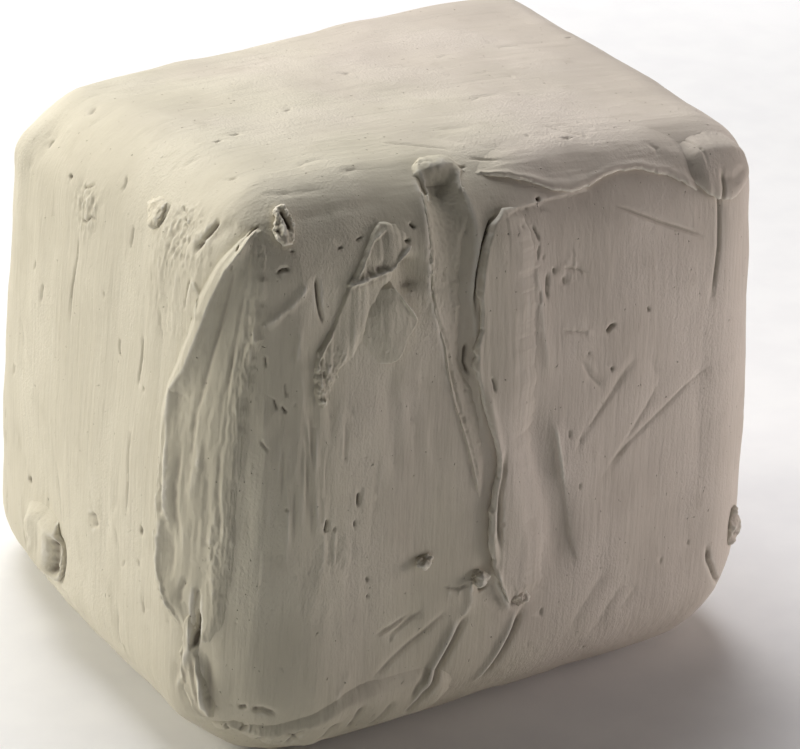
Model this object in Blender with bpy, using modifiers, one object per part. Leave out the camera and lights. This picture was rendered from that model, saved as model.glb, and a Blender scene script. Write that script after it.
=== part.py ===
"""A block of modelling clay: a warped, round-edged lump with smears, flakes and crumbs pressed onto it.

Metres, +Z up. The lump stands on its flat base. Its wide front face looks along -Y and its narrow
left face along -X. The origin is at the middle of the base. Places on the skin are given as
(across, up) in millimetres on the front face: across runs from the middle of the face to the right,
up from the base. Past the left edge, across carries on along the left face; past the top edge, up
carries on along the top face.
"""

import bmesh
import bpy
import numpy as np

MM = 0.001

# The lump before it is rounded and warped, in millimetres.
HALF_WIDTH = 110.0
HALF_DEPTH = 86.0
HEIGHT = 190.0
HALF = np.array([HALF_WIDTH, HALF_DEPTH, HEIGHT / 2])

# Where each corner of the box is dragged to: left or right, front or back, foot or head.
CORNERS = {
    ("left", "front", "foot"): (-116, -106, 0),
    ("left", "front", "head"): (-108, -86, 206),
    ("left", "back", "foot"): (-98, 103, 0),
    ("left", "back", "head"): (-105, 77, 182),
    ("right", "front", "foot"): (115, -83, 0),
    ("right", "front", "head"): (98, -76, 192),
    ("right", "back", "foot"): (109, 84, 0),
    ("right", "back", "head"): (103, 88, 187),
}
# How round the edges are near each of those corners.
ROUNDING = {
    ("left", "front", "foot"): 42,
    ("left", "front", "head"): 24,
    ("left", "back", "foot"): 25,
    ("left", "back", "head"): 25,
    ("right", "front", "foot"): 35,
    ("right", "front", "head"): 22,
    ("right", "back", "foot"): 16,
    ("right", "back", "head"): 21,
}
# How far the middle of each face bellies out.
BELLY_LEFT = 5.0
BELLY_RIGHT = 3.0
BELLY_FRONT = 5.0
BELLY_BACK = 3.0
BELLY_TOP = 5.5

CORE_CUTS = 15
PRESS_GAP = 0.3
ROOT_DEPTH = 1.5

SHADE = (0.47, 0.43, 0.36)
CREAM = (0.66, 0.61, 0.50)
OLIVE = (0.52, 0.49, 0.38)
PALE = (0.72, 0.68, 0.57)


def blend_corners(place, values):
    """Mix eight corner values by how near a point is to each corner; place runs 0 to 1 each way."""
    mixed = 0
    for i, side in enumerate(("left", "right")):
        for j, depth in enumerate(("front", "back")):
            for k, level in enumerate(("foot", "head")):
                share = np.abs(1 - i - place[:, 0]) * np.abs(1 - j - place[:, 1])
                share = share * np.abs(1 - k - place[:, 2])
                mixed = mixed + share[:, None] * np.array(values[side, depth, level], float)
    return mixed


def lump(box_points, lift=0.0):
    """Move points of the plain box's surface onto the lump, lift mm outside its skin.

    Each point is pulled in to an inner box and pushed out again by the local rounding radius. The
    result is then warped so that the box's corners land on CORNERS, and each face bellies out by a
    product of two parabolas.
    """
    centred = box_points - np.array([0, 0, HEIGHT / 2])
    radius = blend_corners((centred / HALF + 1) / 2, {k: (v,) for k, v in ROUNDING.items()})
    inner = np.clip(centred, radius - HALF, HALF - radius)
    outward = centred - inner
    outward = outward / np.linalg.norm(outward, axis=1, keepdims=True)
    s = (inner + radius * outward) / HALF
    points = blend_corners((s + 1) / 2, CORNERS)
    arch = np.clip(1 - s**2, 0, 1)
    low = (1 - s) / 2
    high = (1 + s) / 2
    points[:, 0] += arch[:, 1] * arch[:, 2] * (BELLY_RIGHT * high[:, 0] - BELLY_LEFT * low[:, 0])
    points[:, 1] += arch[:, 0] * arch[:, 2] * (BELLY_BACK * high[:, 1] - BELLY_FRONT * low[:, 1])
    points[:, 2] += arch[:, 0] * arch[:, 1] * BELLY_TOP * high[:, 2]
    return points + lift * outward


def skin(across, up, lift=0.0):
    """A place on the skin as a point, lift mm outside it, folding over the box's edges."""
    past_side = np.maximum(np.abs(across) - HALF_WIDTH, 0)
    past_top = np.maximum(up - HEIGHT, 0)
    x = np.clip(across, -HALF_WIDTH, HALF_WIDTH)
    y = past_side + past_top - HALF_DEPTH
    z = np.clip(up, 0, HEIGHT)
    return lump(np.stack([x, y, z], axis=1), lift)


def new_collection(name):
    collection = bpy.data.collections.new(name)
    bpy.context.scene.collection.children.link(collection)
    return collection


def clay(name, colour, roughness):
    material = bpy.data.materials.new(name + "_clay")
    material.use_nodes = True
    shader = material.node_tree.nodes["Principled BSDF"]
    shader.inputs["Base Color"].default_value = (*colour, 1)
    shader.inputs["Roughness"].default_value = roughness
    shader.inputs["Metallic"].default_value = 0.0
    return material


def add_object(name, form, collection):
    """Turn a bmesh whose points are in mm into an object in metres."""
    bmesh.ops.scale(form, vec=(MM, MM, MM), verts=form.verts)
    mesh = bpy.data.meshes.new(name)
    form.to_mesh(mesh)
    form.free()
    piece = bpy.data.objects.new(name, mesh)
    collection.objects.link(piece)
    return piece


def place_points(form, points):
    for vertex, point in zip(form.verts, points):
        vertex.co = point


def block_form(lift):
    """A cube cut into a grid whose lines crowd towards the edges, then moved onto the lump."""
    form = bmesh.new()
    bmesh.ops.create_cube(form, size=2)
    bmesh.ops.subdivide_edges(form, edges=form.edges, cuts=CORE_CUTS, use_grid_fill=True)
    unit = np.array([vertex.co for vertex in form.verts])
    crowded = np.sin(unit * np.pi / 2)
    place_points(form, lump(crowded * HALF + np.array([0, 0, HEIGHT / 2]), lift))
    return form


def core_block(parts):
    form = block_form(0.0)
    flat = [face for face in form.faces if max(v.co.z for v in face.verts) < 1e-4]
    bmesh.ops.dissolve_faces(form, faces=flat)
    core = add_object("core_block", form, parts)
    core.data.materials.append(clay("core_block", CREAM, 0.85))
    return core


def clearance_cutter(cutters):
    """The lump grown by the gap that keeps a pressed-on piece just off it."""
    cutter = add_object("core_clearance", block_form(PRESS_GAP), cutters)
    cutter.hide_render = True
    cutter.display_type = "WIRE"
    return cutter


def cut_clear(piece, cutter):
    cut = piece.modifiers.new("seat", "BOOLEAN")
    cut.operation = "DIFFERENCE"
    cut.solver = "EXACT"
    cut.object = cutter


def press_on(name, stations, thick, steps, parts, cutter, level=False):
    """A strip of skin given thickness and seated on the lump.

    stations lists (along, from, to) in mm. Along is up for an upright strip, with from and to
    across it; in a level strip along is across, with from and to as heights. A grid is
    stretched between the two edges, laid on the skin and made solid outwards.
    """
    form = bmesh.new()
    wide, long = steps
    bmesh.ops.create_grid(form, x_segments=wide, y_segments=long, size=1)
    unit = (np.array([vertex.co for vertex in form.verts])[:, :2] + 1) / 2
    table = np.array(stations, float)
    order = np.linspace(0, 1, len(table))
    along, start, end = (np.interp(unit[:, 1], order, table[:, i]) for i in range(3))
    between = start + (end - start) * unit[:, 0]
    across, up = (along, between) if level else (between, along)
    place_points(form, skin(across, up, -ROOT_DEPTH))
    outward = skin(across[:1], up[:1], 1.0) - skin(across[:1], up[:1])
    form.normal_update()
    if np.dot(form.faces[:][0].normal, outward[0]) < 0:
        bmesh.ops.reverse_faces(form, faces=form.faces)
    piece = add_object(name, form, parts)
    wall = piece.modifiers.new("body", "SOLIDIFY")
    wall.thickness = (thick + ROOT_DEPTH) * MM
    wall.offset = 1
    edge = piece.modifiers.new("soft_edge", "BEVEL")
    edge.width = 0.3 * thick * MM
    edge.segments = 1
    edge.limit_method = "ANGLE"
    edge.angle_limit = np.radians(60)
    cut_clear(piece, cutter)
    return piece


def corner_smear(parts, cutter):
    stations = [(186, -107, -101), (181, -111, -98), (160, -125, -98), (145, -133, -105), (128, -142, -111)]
    stations += [(112, -146, -114), (98, -147, -117), (80, -148, -113), (69, -147, -111), (61, -140, -112)]
    piece = press_on("corner_smear", stations, 2.2, (4, 18), parts, cutter)
    piece.data.materials.append(clay("corner_smear", OLIVE, 0.8))


def toe_wedge(parts, cutter):
    stations = [(58, -134, -126), (50, -134, -127), (40, -133, -124), (30, -130, -122), (22, -128, -122)]
    piece = press_on("toe_wedge", stations, 1.8, (2, 8), parts, cutter)
    piece.data.materials.append(clay("toe_wedge", CREAM, 0.85))


def torn_nub(parts, cutter):
    stations = [(195, -92, -88), (186, -94, -86), (178, -94, -85), (172, -91, -87)]
    piece = press_on("torn_nub", stations, 3.0, (2, 6), parts, cutter)
    piece.data.materials.append(clay("torn_nub", PALE, 0.9))


def upper_flake(parts, cutter):
    stations = [(179, -56, -47), (174, -60, -42), (168, -66, -45), (164, -71, -53), (156, -72, -58.5)]
    stations += [(149, -74, -60.5), (144, -79, -62.5), (138, -80, -67), (132, -81, -72), (126, -78, -74)]
    piece = press_on("upper_flake", stations, 1.8, (4, 14), parts, cutter)
    piece.data.materials.append(clay("upper_flake", SHADE, 0.85))


def lower_flake(parts, cutter):
    stations = [(160, -55, -52), (155, -57, -47), (149, -58.5, -42.5), (144, -60.5, -48), (139, -60.5, -51)]
    piece = press_on("lower_flake", stations, 2.4, (3, 8), parts, cutter)
    piece.data.materials.append(clay("lower_flake", SHADE, 0.85))


def thumb_ribbon(parts, cutter):
    stations = [(205, -30, -20), (198, -35, -18), (186, -35, -22), (174, -36, -15), (165, -36, -18)]
    stations += [(156, -36, -20), (144, -32, -20), (132, -29, -20), (119, -24, -16), (108, -21, -14)]
    stations += [(93, -18, -14), (84, -17, -15)]
    piece = press_on("thumb_ribbon", stations, 1.2, (3, 22), parts, cutter)
    piece.data.materials.append(clay("thumb_ribbon", SHADE, 0.75))


def right_slab(parts, cutter):
    stations = [(177, -7, 4), (172, -12, 8), (165, -16, 10), (156, -18, 10), (147, -17, 9), (137, -18.5, 8)]
    stations += [(126, -15, 8), (112, -11, 8), (98, -10, 9), (84, -12, 12), (68, -10, 14), (54, -4, 12)]
    piece = press_on("right_slab", stations, 2.0, (4, 18), parts, cutter)
    piece.data.materials.append(clay("right_slab", SHADE, 0.8))


def top_skin(parts, cutter):
    stations = [(-14, 199, 206), (4, 190, 210), (12, 184, 212), (22, 180.5, 212), (32, 182, 212)]
    stations += [(41, 186, 210), (53, 185.5, 210), (62, 182, 208), (70, 178, 198), (73, 176, 192)]
    piece = press_on("top_skin", stations, 1.6, (4, 16), parts, cutter, level=True)
    piece.data.materials.append(clay("top_skin", CREAM, 0.85))


def corner_roll(parts, cutter):
    stations = [(75, 180, 193), (78, 173, 197), (84, 170, 200), (92, 171, 200), (99, 175, 198), (104, 180, 193)]
    piece = press_on("corner_roll", stations, 4.0, (5, 7), parts, cutter, level=True)
    piece.data.materials.append(clay("corner_roll", CREAM, 0.85))


def right_nub(parts, cutter):
    stations = [(52, 98, 104), (46, 97, 108), (41, 98, 105)]
    piece = press_on("right_nub", stations, 3.0, (3, 4), parts, cutter)
    piece.data.materials.append(clay("right_nub", CREAM, 0.85))


def base_hem(parts, cutter):
    stations = [(-120, 9, 15), (-110, 7, 17), (-101, 6, 19), (-92, 6, 23), (-82, 6, 26), (-68, 7, 30)]
    stations += [(-52, 8, 33), (-37, 10, 33), (-24, 14, 30)]
    piece = press_on("base_hem", stations, 2.2, (4, 14), parts, cutter, level=True)
    piece.data.materials.append(clay("base_hem", SHADE, 0.85))


def heel_pad(parts, cutter):
    stations = [(48, -226, -218), (42, -232, -213), (35, -234, -211), (29, -232, -212), (24, -226, -217)]
    piece = press_on("heel_pad", stations, 5.0, (3, 5), parts, cutter)
    piece.data.materials.append(clay("heel_pad", CREAM, 0.85))


def left_pellet(parts, cutter):
    stations = [(181, -173, -167), (176, -174, -164), (171, -172, -166)]
    piece = press_on("left_pellet", stations, 1.8, (3, 3), parts, cutter)
    piece.data.materials.append(clay("left_pellet", PALE, 0.9))


def crumb(name, across, up, radius, parts, cutter):
    """A rough ball, flattened a little, half sunk and then seated on the skin."""
    form = bmesh.new()
    bmesh.ops.create_icosphere(form, subdivisions=2, radius=radius)
    bmesh.ops.scale(form, vec=(1.0, 0.7, 0.8), verts=form.verts)
    centre = skin(np.array([across]), np.array([up]), 0.35 * radius)[0]
    bmesh.ops.translate(form, vec=tuple(centre), verts=form.verts)
    piece = add_object(name, form, parts)
    piece.data.materials.append(clay(name, PALE, 0.95))
    cut_clear(piece, cutter)


def centre_on_origin(parts):
    """Hang every object on one empty, and move that so the whole stands over the origin."""
    holder = bpy.data.objects.new("clay_frame", None)
    bpy.context.scene.collection.objects.link(holder)
    bpy.context.view_layer.update()
    graph = bpy.context.evaluated_depsgraph_get()
    corners = [np.array(corner) for piece in parts.objects for corner in piece.evaluated_get(graph).bound_box]
    middle = (np.min(corners, axis=0) + np.max(corners, axis=0)) / 2
    for collection in bpy.context.scene.collection.children:
        for piece in collection.objects:
            piece.parent = holder
    holder.location = (-middle[0], -middle[1], 0)


def main():
    for old in list(bpy.data.objects):
        bpy.data.objects.remove(old)
    parts = new_collection("clay_block")
    cutters = new_collection("cutters")
    core_block(parts)
    cutter = clearance_cutter(cutters)
    pressed_on = (corner_smear, toe_wedge, torn_nub, upper_flake, lower_flake, thumb_ribbon, right_slab)
    pressed_on += (top_skin, corner_roll, right_nub, base_hem, heel_pad, left_pellet)
    for make in pressed_on:
        make(parts, cutter)
    crumb("crumb_1", -37.5, 71, 3.2, parts, cutter)
    crumb("crumb_2", -16.5, 62, 3.6, parts, cutter)
    crumb("crumb_3", 1, 49, 3.4, parts, cutter)
    centre_on_origin(parts)


main()
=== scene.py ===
# %% [markdown]
# # A block of modelling clay
#
# The object is a lump of damp potter's clay, about 22 cm wide. Hands have dragged, torn and pressed
# its skin, so its looks are nearly all surface: soft bellies, smears with one crisp edge, thumb
# grooves, cracks, pits and crumbs. A sculpted mesh could hold all that, but nobody can read one.
# Here every mark is a small formula added to a smooth lump, so a reader can change any of them.
#
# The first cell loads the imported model, which fixes the size and the place of everything.

# %% Load the frame
import itertools

import bpy
import numpy as np
from mathutils import Matrix, Vector


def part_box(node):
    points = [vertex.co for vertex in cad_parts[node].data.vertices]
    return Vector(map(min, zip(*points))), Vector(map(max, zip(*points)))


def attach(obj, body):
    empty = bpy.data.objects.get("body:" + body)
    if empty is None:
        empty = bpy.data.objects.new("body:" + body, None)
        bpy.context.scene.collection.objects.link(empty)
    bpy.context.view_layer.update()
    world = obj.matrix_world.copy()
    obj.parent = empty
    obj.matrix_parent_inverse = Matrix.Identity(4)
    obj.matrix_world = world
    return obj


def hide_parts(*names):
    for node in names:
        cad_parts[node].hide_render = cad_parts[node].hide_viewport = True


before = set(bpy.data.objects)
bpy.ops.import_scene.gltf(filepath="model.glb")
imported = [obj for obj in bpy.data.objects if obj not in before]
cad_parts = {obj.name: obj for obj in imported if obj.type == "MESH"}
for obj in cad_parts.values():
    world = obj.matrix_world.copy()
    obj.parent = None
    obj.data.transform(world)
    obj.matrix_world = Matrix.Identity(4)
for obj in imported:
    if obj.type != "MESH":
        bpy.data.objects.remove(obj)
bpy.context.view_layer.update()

MM = 0.001

# %% [markdown]
# ## The lump
#
# A real block starts as a wire-cut box and slumps. The same happens here: a plain box's surface is
# rounded by a radius that changes from corner to corner, its eight corners are dragged a little, and
# each face bellies out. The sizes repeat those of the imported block, in millimetres, and the block's
# own box in the frame says where it stands.

# %% The lump's sizes, in millimetres
HALF_WIDTH = 110.0
HALF_DEPTH = 86.0
HEIGHT = 190.0
HALF = np.array([HALF_WIDTH, HALF_DEPTH, HEIGHT / 2])
# Corners in the order left or right, front or back, foot or head.
CORNERS = np.array([
    [[(-116, -106, 0), (-108, -86, 206)], [(-98, 103, 0), (-105, 77, 182)]],
    [[(115, -83, 0), (98, -76, 192)], [(109, 84, 0), (103, 88, 187)]],
], float)
ROUNDING = np.array([[[42, 24], [25, 25]], [[35, 22], [16, 21]]], float)[..., None]
BELLY_LEFT, BELLY_RIGHT = 5.0, 3.0
BELLY_FRONT, BELLY_BACK = 5.0, 3.0
BELLY_TOP = 5.5


# %% The lump as a function
def blend_corners(place, values):
    """Mix eight corner values; each one's share is the product of its nearness along X, Y and Z."""
    mixed = 0
    for i, j, k in itertools.product((0, 1), repeat=3):
        share = np.abs(1 - i - place[:, 0]) * np.abs(1 - j - place[:, 1]) * np.abs(1 - k - place[:, 2])
        mixed = mixed + share[:, None] * values[i, j, k]
    return mixed


def lump(box_points):
    """Box points to skin points and their outward directions.

    A point is pulled in to an inner box, pushed out again by the rounding radius, and warped so
    that the corners land on CORNERS. A product of two parabolas bellies out each face.
    """
    centred = box_points - np.array([0, 0, HEIGHT / 2])
    radius = blend_corners((centred / HALF + 1) / 2, ROUNDING)
    inner = np.clip(centred, radius - HALF, HALF - radius)
    outward = centred - inner
    outward = outward / np.linalg.norm(outward, axis=1, keepdims=True)
    s = (inner + radius * outward) / HALF
    points = blend_corners((s + 1) / 2, CORNERS)
    arch = np.clip(1 - s**2, 0, 1)
    low, high = (1 - s) / 2, (1 + s) / 2
    points[:, 0] += arch[:, 1] * arch[:, 2] * (BELLY_RIGHT * high[:, 0] - BELLY_LEFT * low[:, 0])
    points[:, 1] += arch[:, 0] * arch[:, 2] * (BELLY_BACK * high[:, 1] - BELLY_FRONT * low[:, 1])
    points[:, 2] += arch[:, 0] * arch[:, 1] * BELLY_TOP * high[:, 2]
    return points, outward


def box_grid(count):
    """A count-by-count grid on each side of the box, for measuring."""
    u, v = (a.ravel() for a in np.meshgrid(np.linspace(-1, 1, count), np.linspace(-1, 1, count)))
    sides = []
    for axis, side in itertools.product(range(3), (-1, 1)):
        sides.append(np.insert(np.stack([u, v], axis=1), axis, side, axis=1))
    return np.concatenate(sides) * HALF + np.array([0, 0, HEIGHT / 2])


probe, _ = lump(box_grid(17))
core_low, core_high = (np.array(corner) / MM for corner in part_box("core_block"))
STAND = (core_low + core_high) / 2 - (probe.min(0) + probe.max(0)) / 2
STAND[2] = core_low[2]
print("the lump is moved by", STAND.round(2), "mm to stand where the packed block stands")

# %% [markdown]
# ## Places on the skin
#
# A mark is easiest to place on an unfolded skin. Across runs from the middle of the front face to
# the right, and up from the base, both in millimetres. Past the left edge, across carries on along
# the left face; past the top edge, up carries on along the top face. The back and the underside get
# their own stretches of the same map, far from the others.

# %% The unfolded skin
BACK_SHIFT = 1000.0
UNDER_SHIFT = 2000.0


def unfold(box_points):
    """Box points to (across, up): the length along the box from the middle of the front's foot."""
    x, y, z = box_points.T
    behind = y + HALF_DEPTH
    across = np.where(x <= -HALF_WIDTH, x - behind, np.where(x >= HALF_WIDTH, x + behind, x))
    up = np.where((z >= HEIGHT) & (np.abs(x) < HALF_WIDTH), z + behind, z)
    back = (y >= HALF_DEPTH) & (np.abs(x) < HALF_WIDTH) & (z < HEIGHT)
    under = (z <= 0) & ~back & (behind > 0) & (np.abs(x) < HALF_WIDTH)
    across = np.where(back, x + BACK_SHIFT, np.where(under, x + UNDER_SHIFT, across))
    up = np.where(under, y, up)
    return across, up


def fold(across, up):
    """(across, up) on the front, the sides or the top, back to box points."""
    past_side = np.maximum(np.abs(across) - HALF_WIDTH, 0)
    past_top = np.maximum(up - HEIGHT, 0)
    x = np.clip(across, -HALF_WIDTH, HALF_WIDTH)
    return np.stack([x, past_side + past_top - HALF_DEPTH, np.clip(up, 0, HEIGHT)], axis=1)


# %% [markdown]
# ## Random texture
#
# Clay is never even. The usual source of unevenness is noise: random values on a lattice, eased
# between. Stretching the lattice along one direction turns blobs into drag streaks. It is written
# out here so that the shape is the same in every run and on every machine.

# %% Noise
def grain(points, size, seed):
    """Noise from -1 to 1: hashed values at lattice corners, mixed with the ease 3t^2 - 2t^3."""
    scaled = points / np.asarray(size, float)
    cell = np.floor(scaled)
    ease = scaled - cell
    ease = ease * ease * (3 - 2 * ease)
    cell = cell.astype(np.int64)
    total = 0
    for corner in itertools.product((0, 1), repeat=points.shape[1]):
        mixed = np.full(len(points), seed * 9176 + 13, np.int64)
        share = 1.0
        for axis, step in enumerate(corner):
            mixed = (mixed * 31 + cell[:, axis] + step) * 668265263 & 0x7FFFFFFF
            mixed = (mixed ^ mixed >> 15) * 374761393 & 0x7FFFFFFF
            share = share * (ease[:, axis] if step else 1 - ease[:, axis])
        total = total + share * ((mixed & 0xFFFF) / 32767.5 - 1)
    return total


def layers(points, size, seed, count=3, fade=0.5):
    """Noise on noise: each layer has half the size and fade times the strength of the last."""
    size = np.asarray(size, float)
    return sum(fade**i * grain(points, size / 2**i, seed + 17 * i) for i in range(count))


# %% [markdown]
# ## Marks
#
# Every scratch, crack, groove, ridge and torn lap is a stroke: a short path on the unfolded skin
# and a profile across it. The distance from each skin point to the path, with its sign saying which
# side, is all that a profile needs.

# %% Strokes
def path_distance(across, up, path):
    """Signed distance to a path of straight stretches, and how far along it, from 0 to 1.

    For each stretch the point is dropped onto the line and clamped to its ends. The nearest
    stretch wins. The sign is positive on the right-hand side of the way the path runs.
    """
    path = np.asarray(path, float)
    starts, steps = path[:-1], np.diff(path, axis=0)
    lengths = np.hypot(*steps.T)
    run = np.concatenate([[0], np.cumsum(lengths)])
    best = np.full(across.shape, np.inf)
    side = np.ones(across.shape)
    along = np.zeros(across.shape)
    for start, step, length, ran in zip(starts, steps, lengths, run):
        dx, dy = across - start[0], up - start[1]
        t = np.clip((dx * step[0] + dy * step[1]) / length**2, 0, 1)
        distance = np.hypot(dx - t * step[0], dy - t * step[1])
        nearer = distance < best
        best = np.where(nearer, distance, best)
        side = np.where(nearer, np.where(step[0] * dy - step[1] * dx > 0, -1.0, 1.0), side)
        along = np.where(nearer, (ran + t * length) / run[-1], along)
    return best * side, along


def near(across, up, path, reach):
    """The points within reach of a path's box, so that a stroke works on few points."""
    path = np.asarray(path, float)
    low, high = path.min(0) - reach, path.max(0) + reach
    return (across > low[0]) & (across < high[0]) & (up > low[1]) & (up < high[1])


def fade_ends(along, share=0.25):
    """1 in the middle of a stroke, easing to 0 at both ends."""
    t = np.clip(np.minimum(along, 1 - along) / share, 0, 1)
    return t * t * (3 - 2 * t)


def valley(height, across, up, path, width, depth, share=0.25):
    """A groove: minus depth times a bell curve of the distance, faded at the ends."""
    chosen = near(across, up, path, 3 * width)
    distance, along = path_distance(across[chosen], up[chosen], path)
    height[chosen] -= depth * np.exp(-(distance / width) ** 2) * fade_ends(along, share)


def lap(height, across, up, path, rise, reach, crisp=0.5, share=0.2):
    """A lapped edge: a sharp step up to the path's right that sinks back slowly over reach."""
    chosen = near(across, up, path, 3 * reach)
    distance, along = path_distance(across[chosen], up[chosen], path)
    step = 1 / (1 + np.exp(-np.clip(distance / crisp, -30, 30) * 4))
    fall = np.exp(-(np.maximum(distance, 0) / reach) ** 2)
    height[chosen] += rise * step * fall * fade_ends(along, share)


def crest(height, across, up, path, rise, left_reach, right_reach, share=0.2):
    """A ridge with a sharp top: rise times (1 - distance / reach)^2, with a reach for each side."""
    chosen = near(across, up, path, max(left_reach, right_reach))
    distance, along = path_distance(across[chosen], up[chosen], path)
    reach = np.where(distance > 0, right_reach, left_reach)
    height[chosen] += rise * np.clip(1 - np.abs(distance) / reach, 0, 1) ** 2 * fade_ends(along, share)


def dent(height, points, centre, radius, depth):
    """A hollow, or a swelling if depth is negative: a bell curve of the distance in space."""
    away = np.linalg.norm((points - np.array(centre, float)) / np.asarray(radius, float), axis=1)
    height -= depth * np.exp(-(away**2))


print("stroke tools ready")

# %% [markdown]
# ## The block's own marks
#
# A maker reads the history of a block off its skin: where a thumb was drawn down it, where a lap
# was pressed over, where it split as it bent, and where a tool or a crate scratched it. Each list
# below holds one kind of mark as (path, width, depth), in millimetres on the unfolded skin.

# %% Marks that cut in
CRACKS = [
    ([(-94.5, 168.5), (-92, 169.6), (-89, 169.5)], 0.40, 1.3),
    ([(-89, 175), (-87, 174.5)], 0.36, 0.7),
    ([(-98, 144), (-97, 140)], 0.36, 1.0),
    ([(-94, 131), (-92.5, 127)], 0.36, 1.1),
    ([(-91, 128.5), (-89, 126)], 0.36, 1.0),
    ([(-90, 136), (-89.5, 131)], 0.40, 0.8),
    ([(-99, 118), (-95, 114.5)], 0.40, 0.7),
    ([(-73.5, 92), (-74, 89), (-74.2, 87)], 0.53, 1.6),
    ([(-71, 87), (-70.2, 89)], 0.36, 0.9),
    ([(-61.5, 98), (-62, 93)], 0.46, 1.3),
    ([(-63, 89.5), (-63, 87)], 0.40, 1.0),
    ([(-58, 70.5), (-57.7, 68.5)], 0.40, 1.0),
    ([(-57.6, 64.5), (-57.5, 63.2)], 0.40, 0.9),
    ([(-16, 56.5), (-13.5, 57.2), (-11.5, 59)], 0.66, 2.2),
    ([(-30, 61), (-24, 59), (-18, 60)], 0.46, 0.7),
    ([(-13.8, 128), (-12.6, 125), (-12.4, 122)], 0.59, 0.9),
    ([(4.5, 172), (6.5, 168.5), (7.5, 166)], 0.40, 0.9),
    ([(7.5, 166), (6.5, 163), (6, 160)], 0.36, 0.6),
    ([(6.6, 152), (6.8, 147)], 0.46, 0.7),
    ([(10.5, 157), (10, 151), (10.3, 147)], 0.53, 0.9),
    ([(13, 157.5), (13.4, 155)], 0.53, 0.8),
    ([(17, 154), (17.4, 151)], 0.46, 0.6),
    ([(16, 157), (22, 155.6), (28, 153.4)], 0.40, 0.6),
    ([(15, 137), (20, 136), (27, 134.5)], 0.46, 0.5),
    ([(52, 139), (53, 137)], 0.46, 0.8),
    ([(34, 132.6), (36.5, 135), (39, 135.6)], 0.6, 1.2),
    ([(36.6, 121.5), (37.2, 120)], 0.59, 0.9),
    ([(34, 176), (46, 171), (60, 165), (84, 156)], 0.6, 0.8),
    ([(8.5, 180.6), (8.7, 178.8)], 0.53, 2.2),
    ([(-163, 138), (-163.6, 128), (-165, 117)], 0.46, 0.9),
    ([(-160.3, 120.5), (-160.6, 119)], 0.46, 1.2),
    ([(-166, 108), (-166.6, 98), (-166, 88), (-167, 72)], 0.53, 0.7),
    ([(-157, 76), (-157.6, 72.5)], 0.73, 1.4),
    ([(-159, 64), (-158.6, 61)], 0.59, 0.7),
    ([(-238, 51), (-235.5, 52)], 0.92, 1.5),
    ([(-223, 172), (-220.5, 171)], 0.59, 1.5),
    ([(-213, 170), (-208.5, 171.5), (-204, 174)], 0.45, 0.9),
    ([(-210.5, 160), (-206, 160.4), (-203, 163), (-199, 163)], 0.45, 1.0),
    ([(-211, 158), (-210, 147), (-212, 136), (-212, 120)], 0.53, 0.9),
    ([(-136, 163), (-137.6, 157), (-139, 151)], 0.40, 1.1),
    ([(-159.4, 182), (-158.6, 176), (-160.6, 171.6), (-163.5, 171)], 0.46, 1.3),
    ([(-149, 178.6), (-146.5, 178), (-144.8, 175)], 0.40, 0.9),
    ([(-102, 188.5), (-106, 187), (-109, 184)], 0.5, 1.3),
    ([(-112.3, 180.5), (-113.2, 177)], 0.4, 0.9),
    ([(-114, 173), (-115, 170)], 0.4, 0.7),
    ([(-64, 175), (-60.5, 176.2)], 0.4, 0.9),
    ([(-71, 173.4), (-68.5, 174)], 0.4, 0.8),
    ([(-42.5, 178.5), (-40.6, 176)], 0.6, 1.3),
    ([(-45.5, 172.4), (-42.6, 173)], 0.5, 1.0),
    ([(-152, 183), (-149.8, 180.5)], 0.40, 0.8),
]
SCRATCHES = [
    ([(49, 125), (33, 108), (17, 92)], 0.8, 0.55),
    ([(31, 113), (25, 101), (20, 88)], 0.8, 0.35),
    ([(49, 98), (41, 90), (34, 81)], 0.7, 0.4),
    ([(66, 122), (52, 104), (38, 88), (24, 74)], 0.7, 0.45),
    ([(96, 118), (70, 108), (46, 94), (26, 80)], 0.7, 0.5),
    ([(22, 130), (28, 120), (37, 111)], 0.9, 0.6),
    ([(35, 112), (41, 118), (50, 125)], 1.4, 0.5),
    ([(53, 124), (56, 116), (60, 112)], 1.1, 0.4),
    ([(-57, 49.6), (-48, 52), (-38, 55)], 0.8, 1.0),
    ([(-54, 48), (-46, 50.4), (-34, 56)], 0.7, 0.8),
    ([(-44, 228), (-31, 219), (-17, 212), (-6, 204)], 0.7, 0.5),
    ([(-15, 205), (-8, 203), (2, 199)], 0.6, 0.5),
    ([(24, 223), (31, 214), (38, 206), (43, 211)], 0.9, 0.5),
    ([(12, 243), (20, 247), (31, 247)], 0.8, 0.5),
    ([(-78, 212), (-69, 217), (-57, 219)], 0.7, 0.4),
    ([(-62, 207), (-52, 207.4)], 0.6, 0.5),
    ([(-97, 222), (-93, 219)], 0.6, 0.6),
    ([(-100, 316), (-93, 320)], 1.1, 0.8),
    ([(60, 200), (63, 195), (62, 190)], 0.8, 0.4),
    ([(-40, 20), (-38, 30), (-30, 38)], 1.2, 0.6),
    ([(40, 30), (47, 36), (54, 44)], 1.4, 0.6),
]
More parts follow.
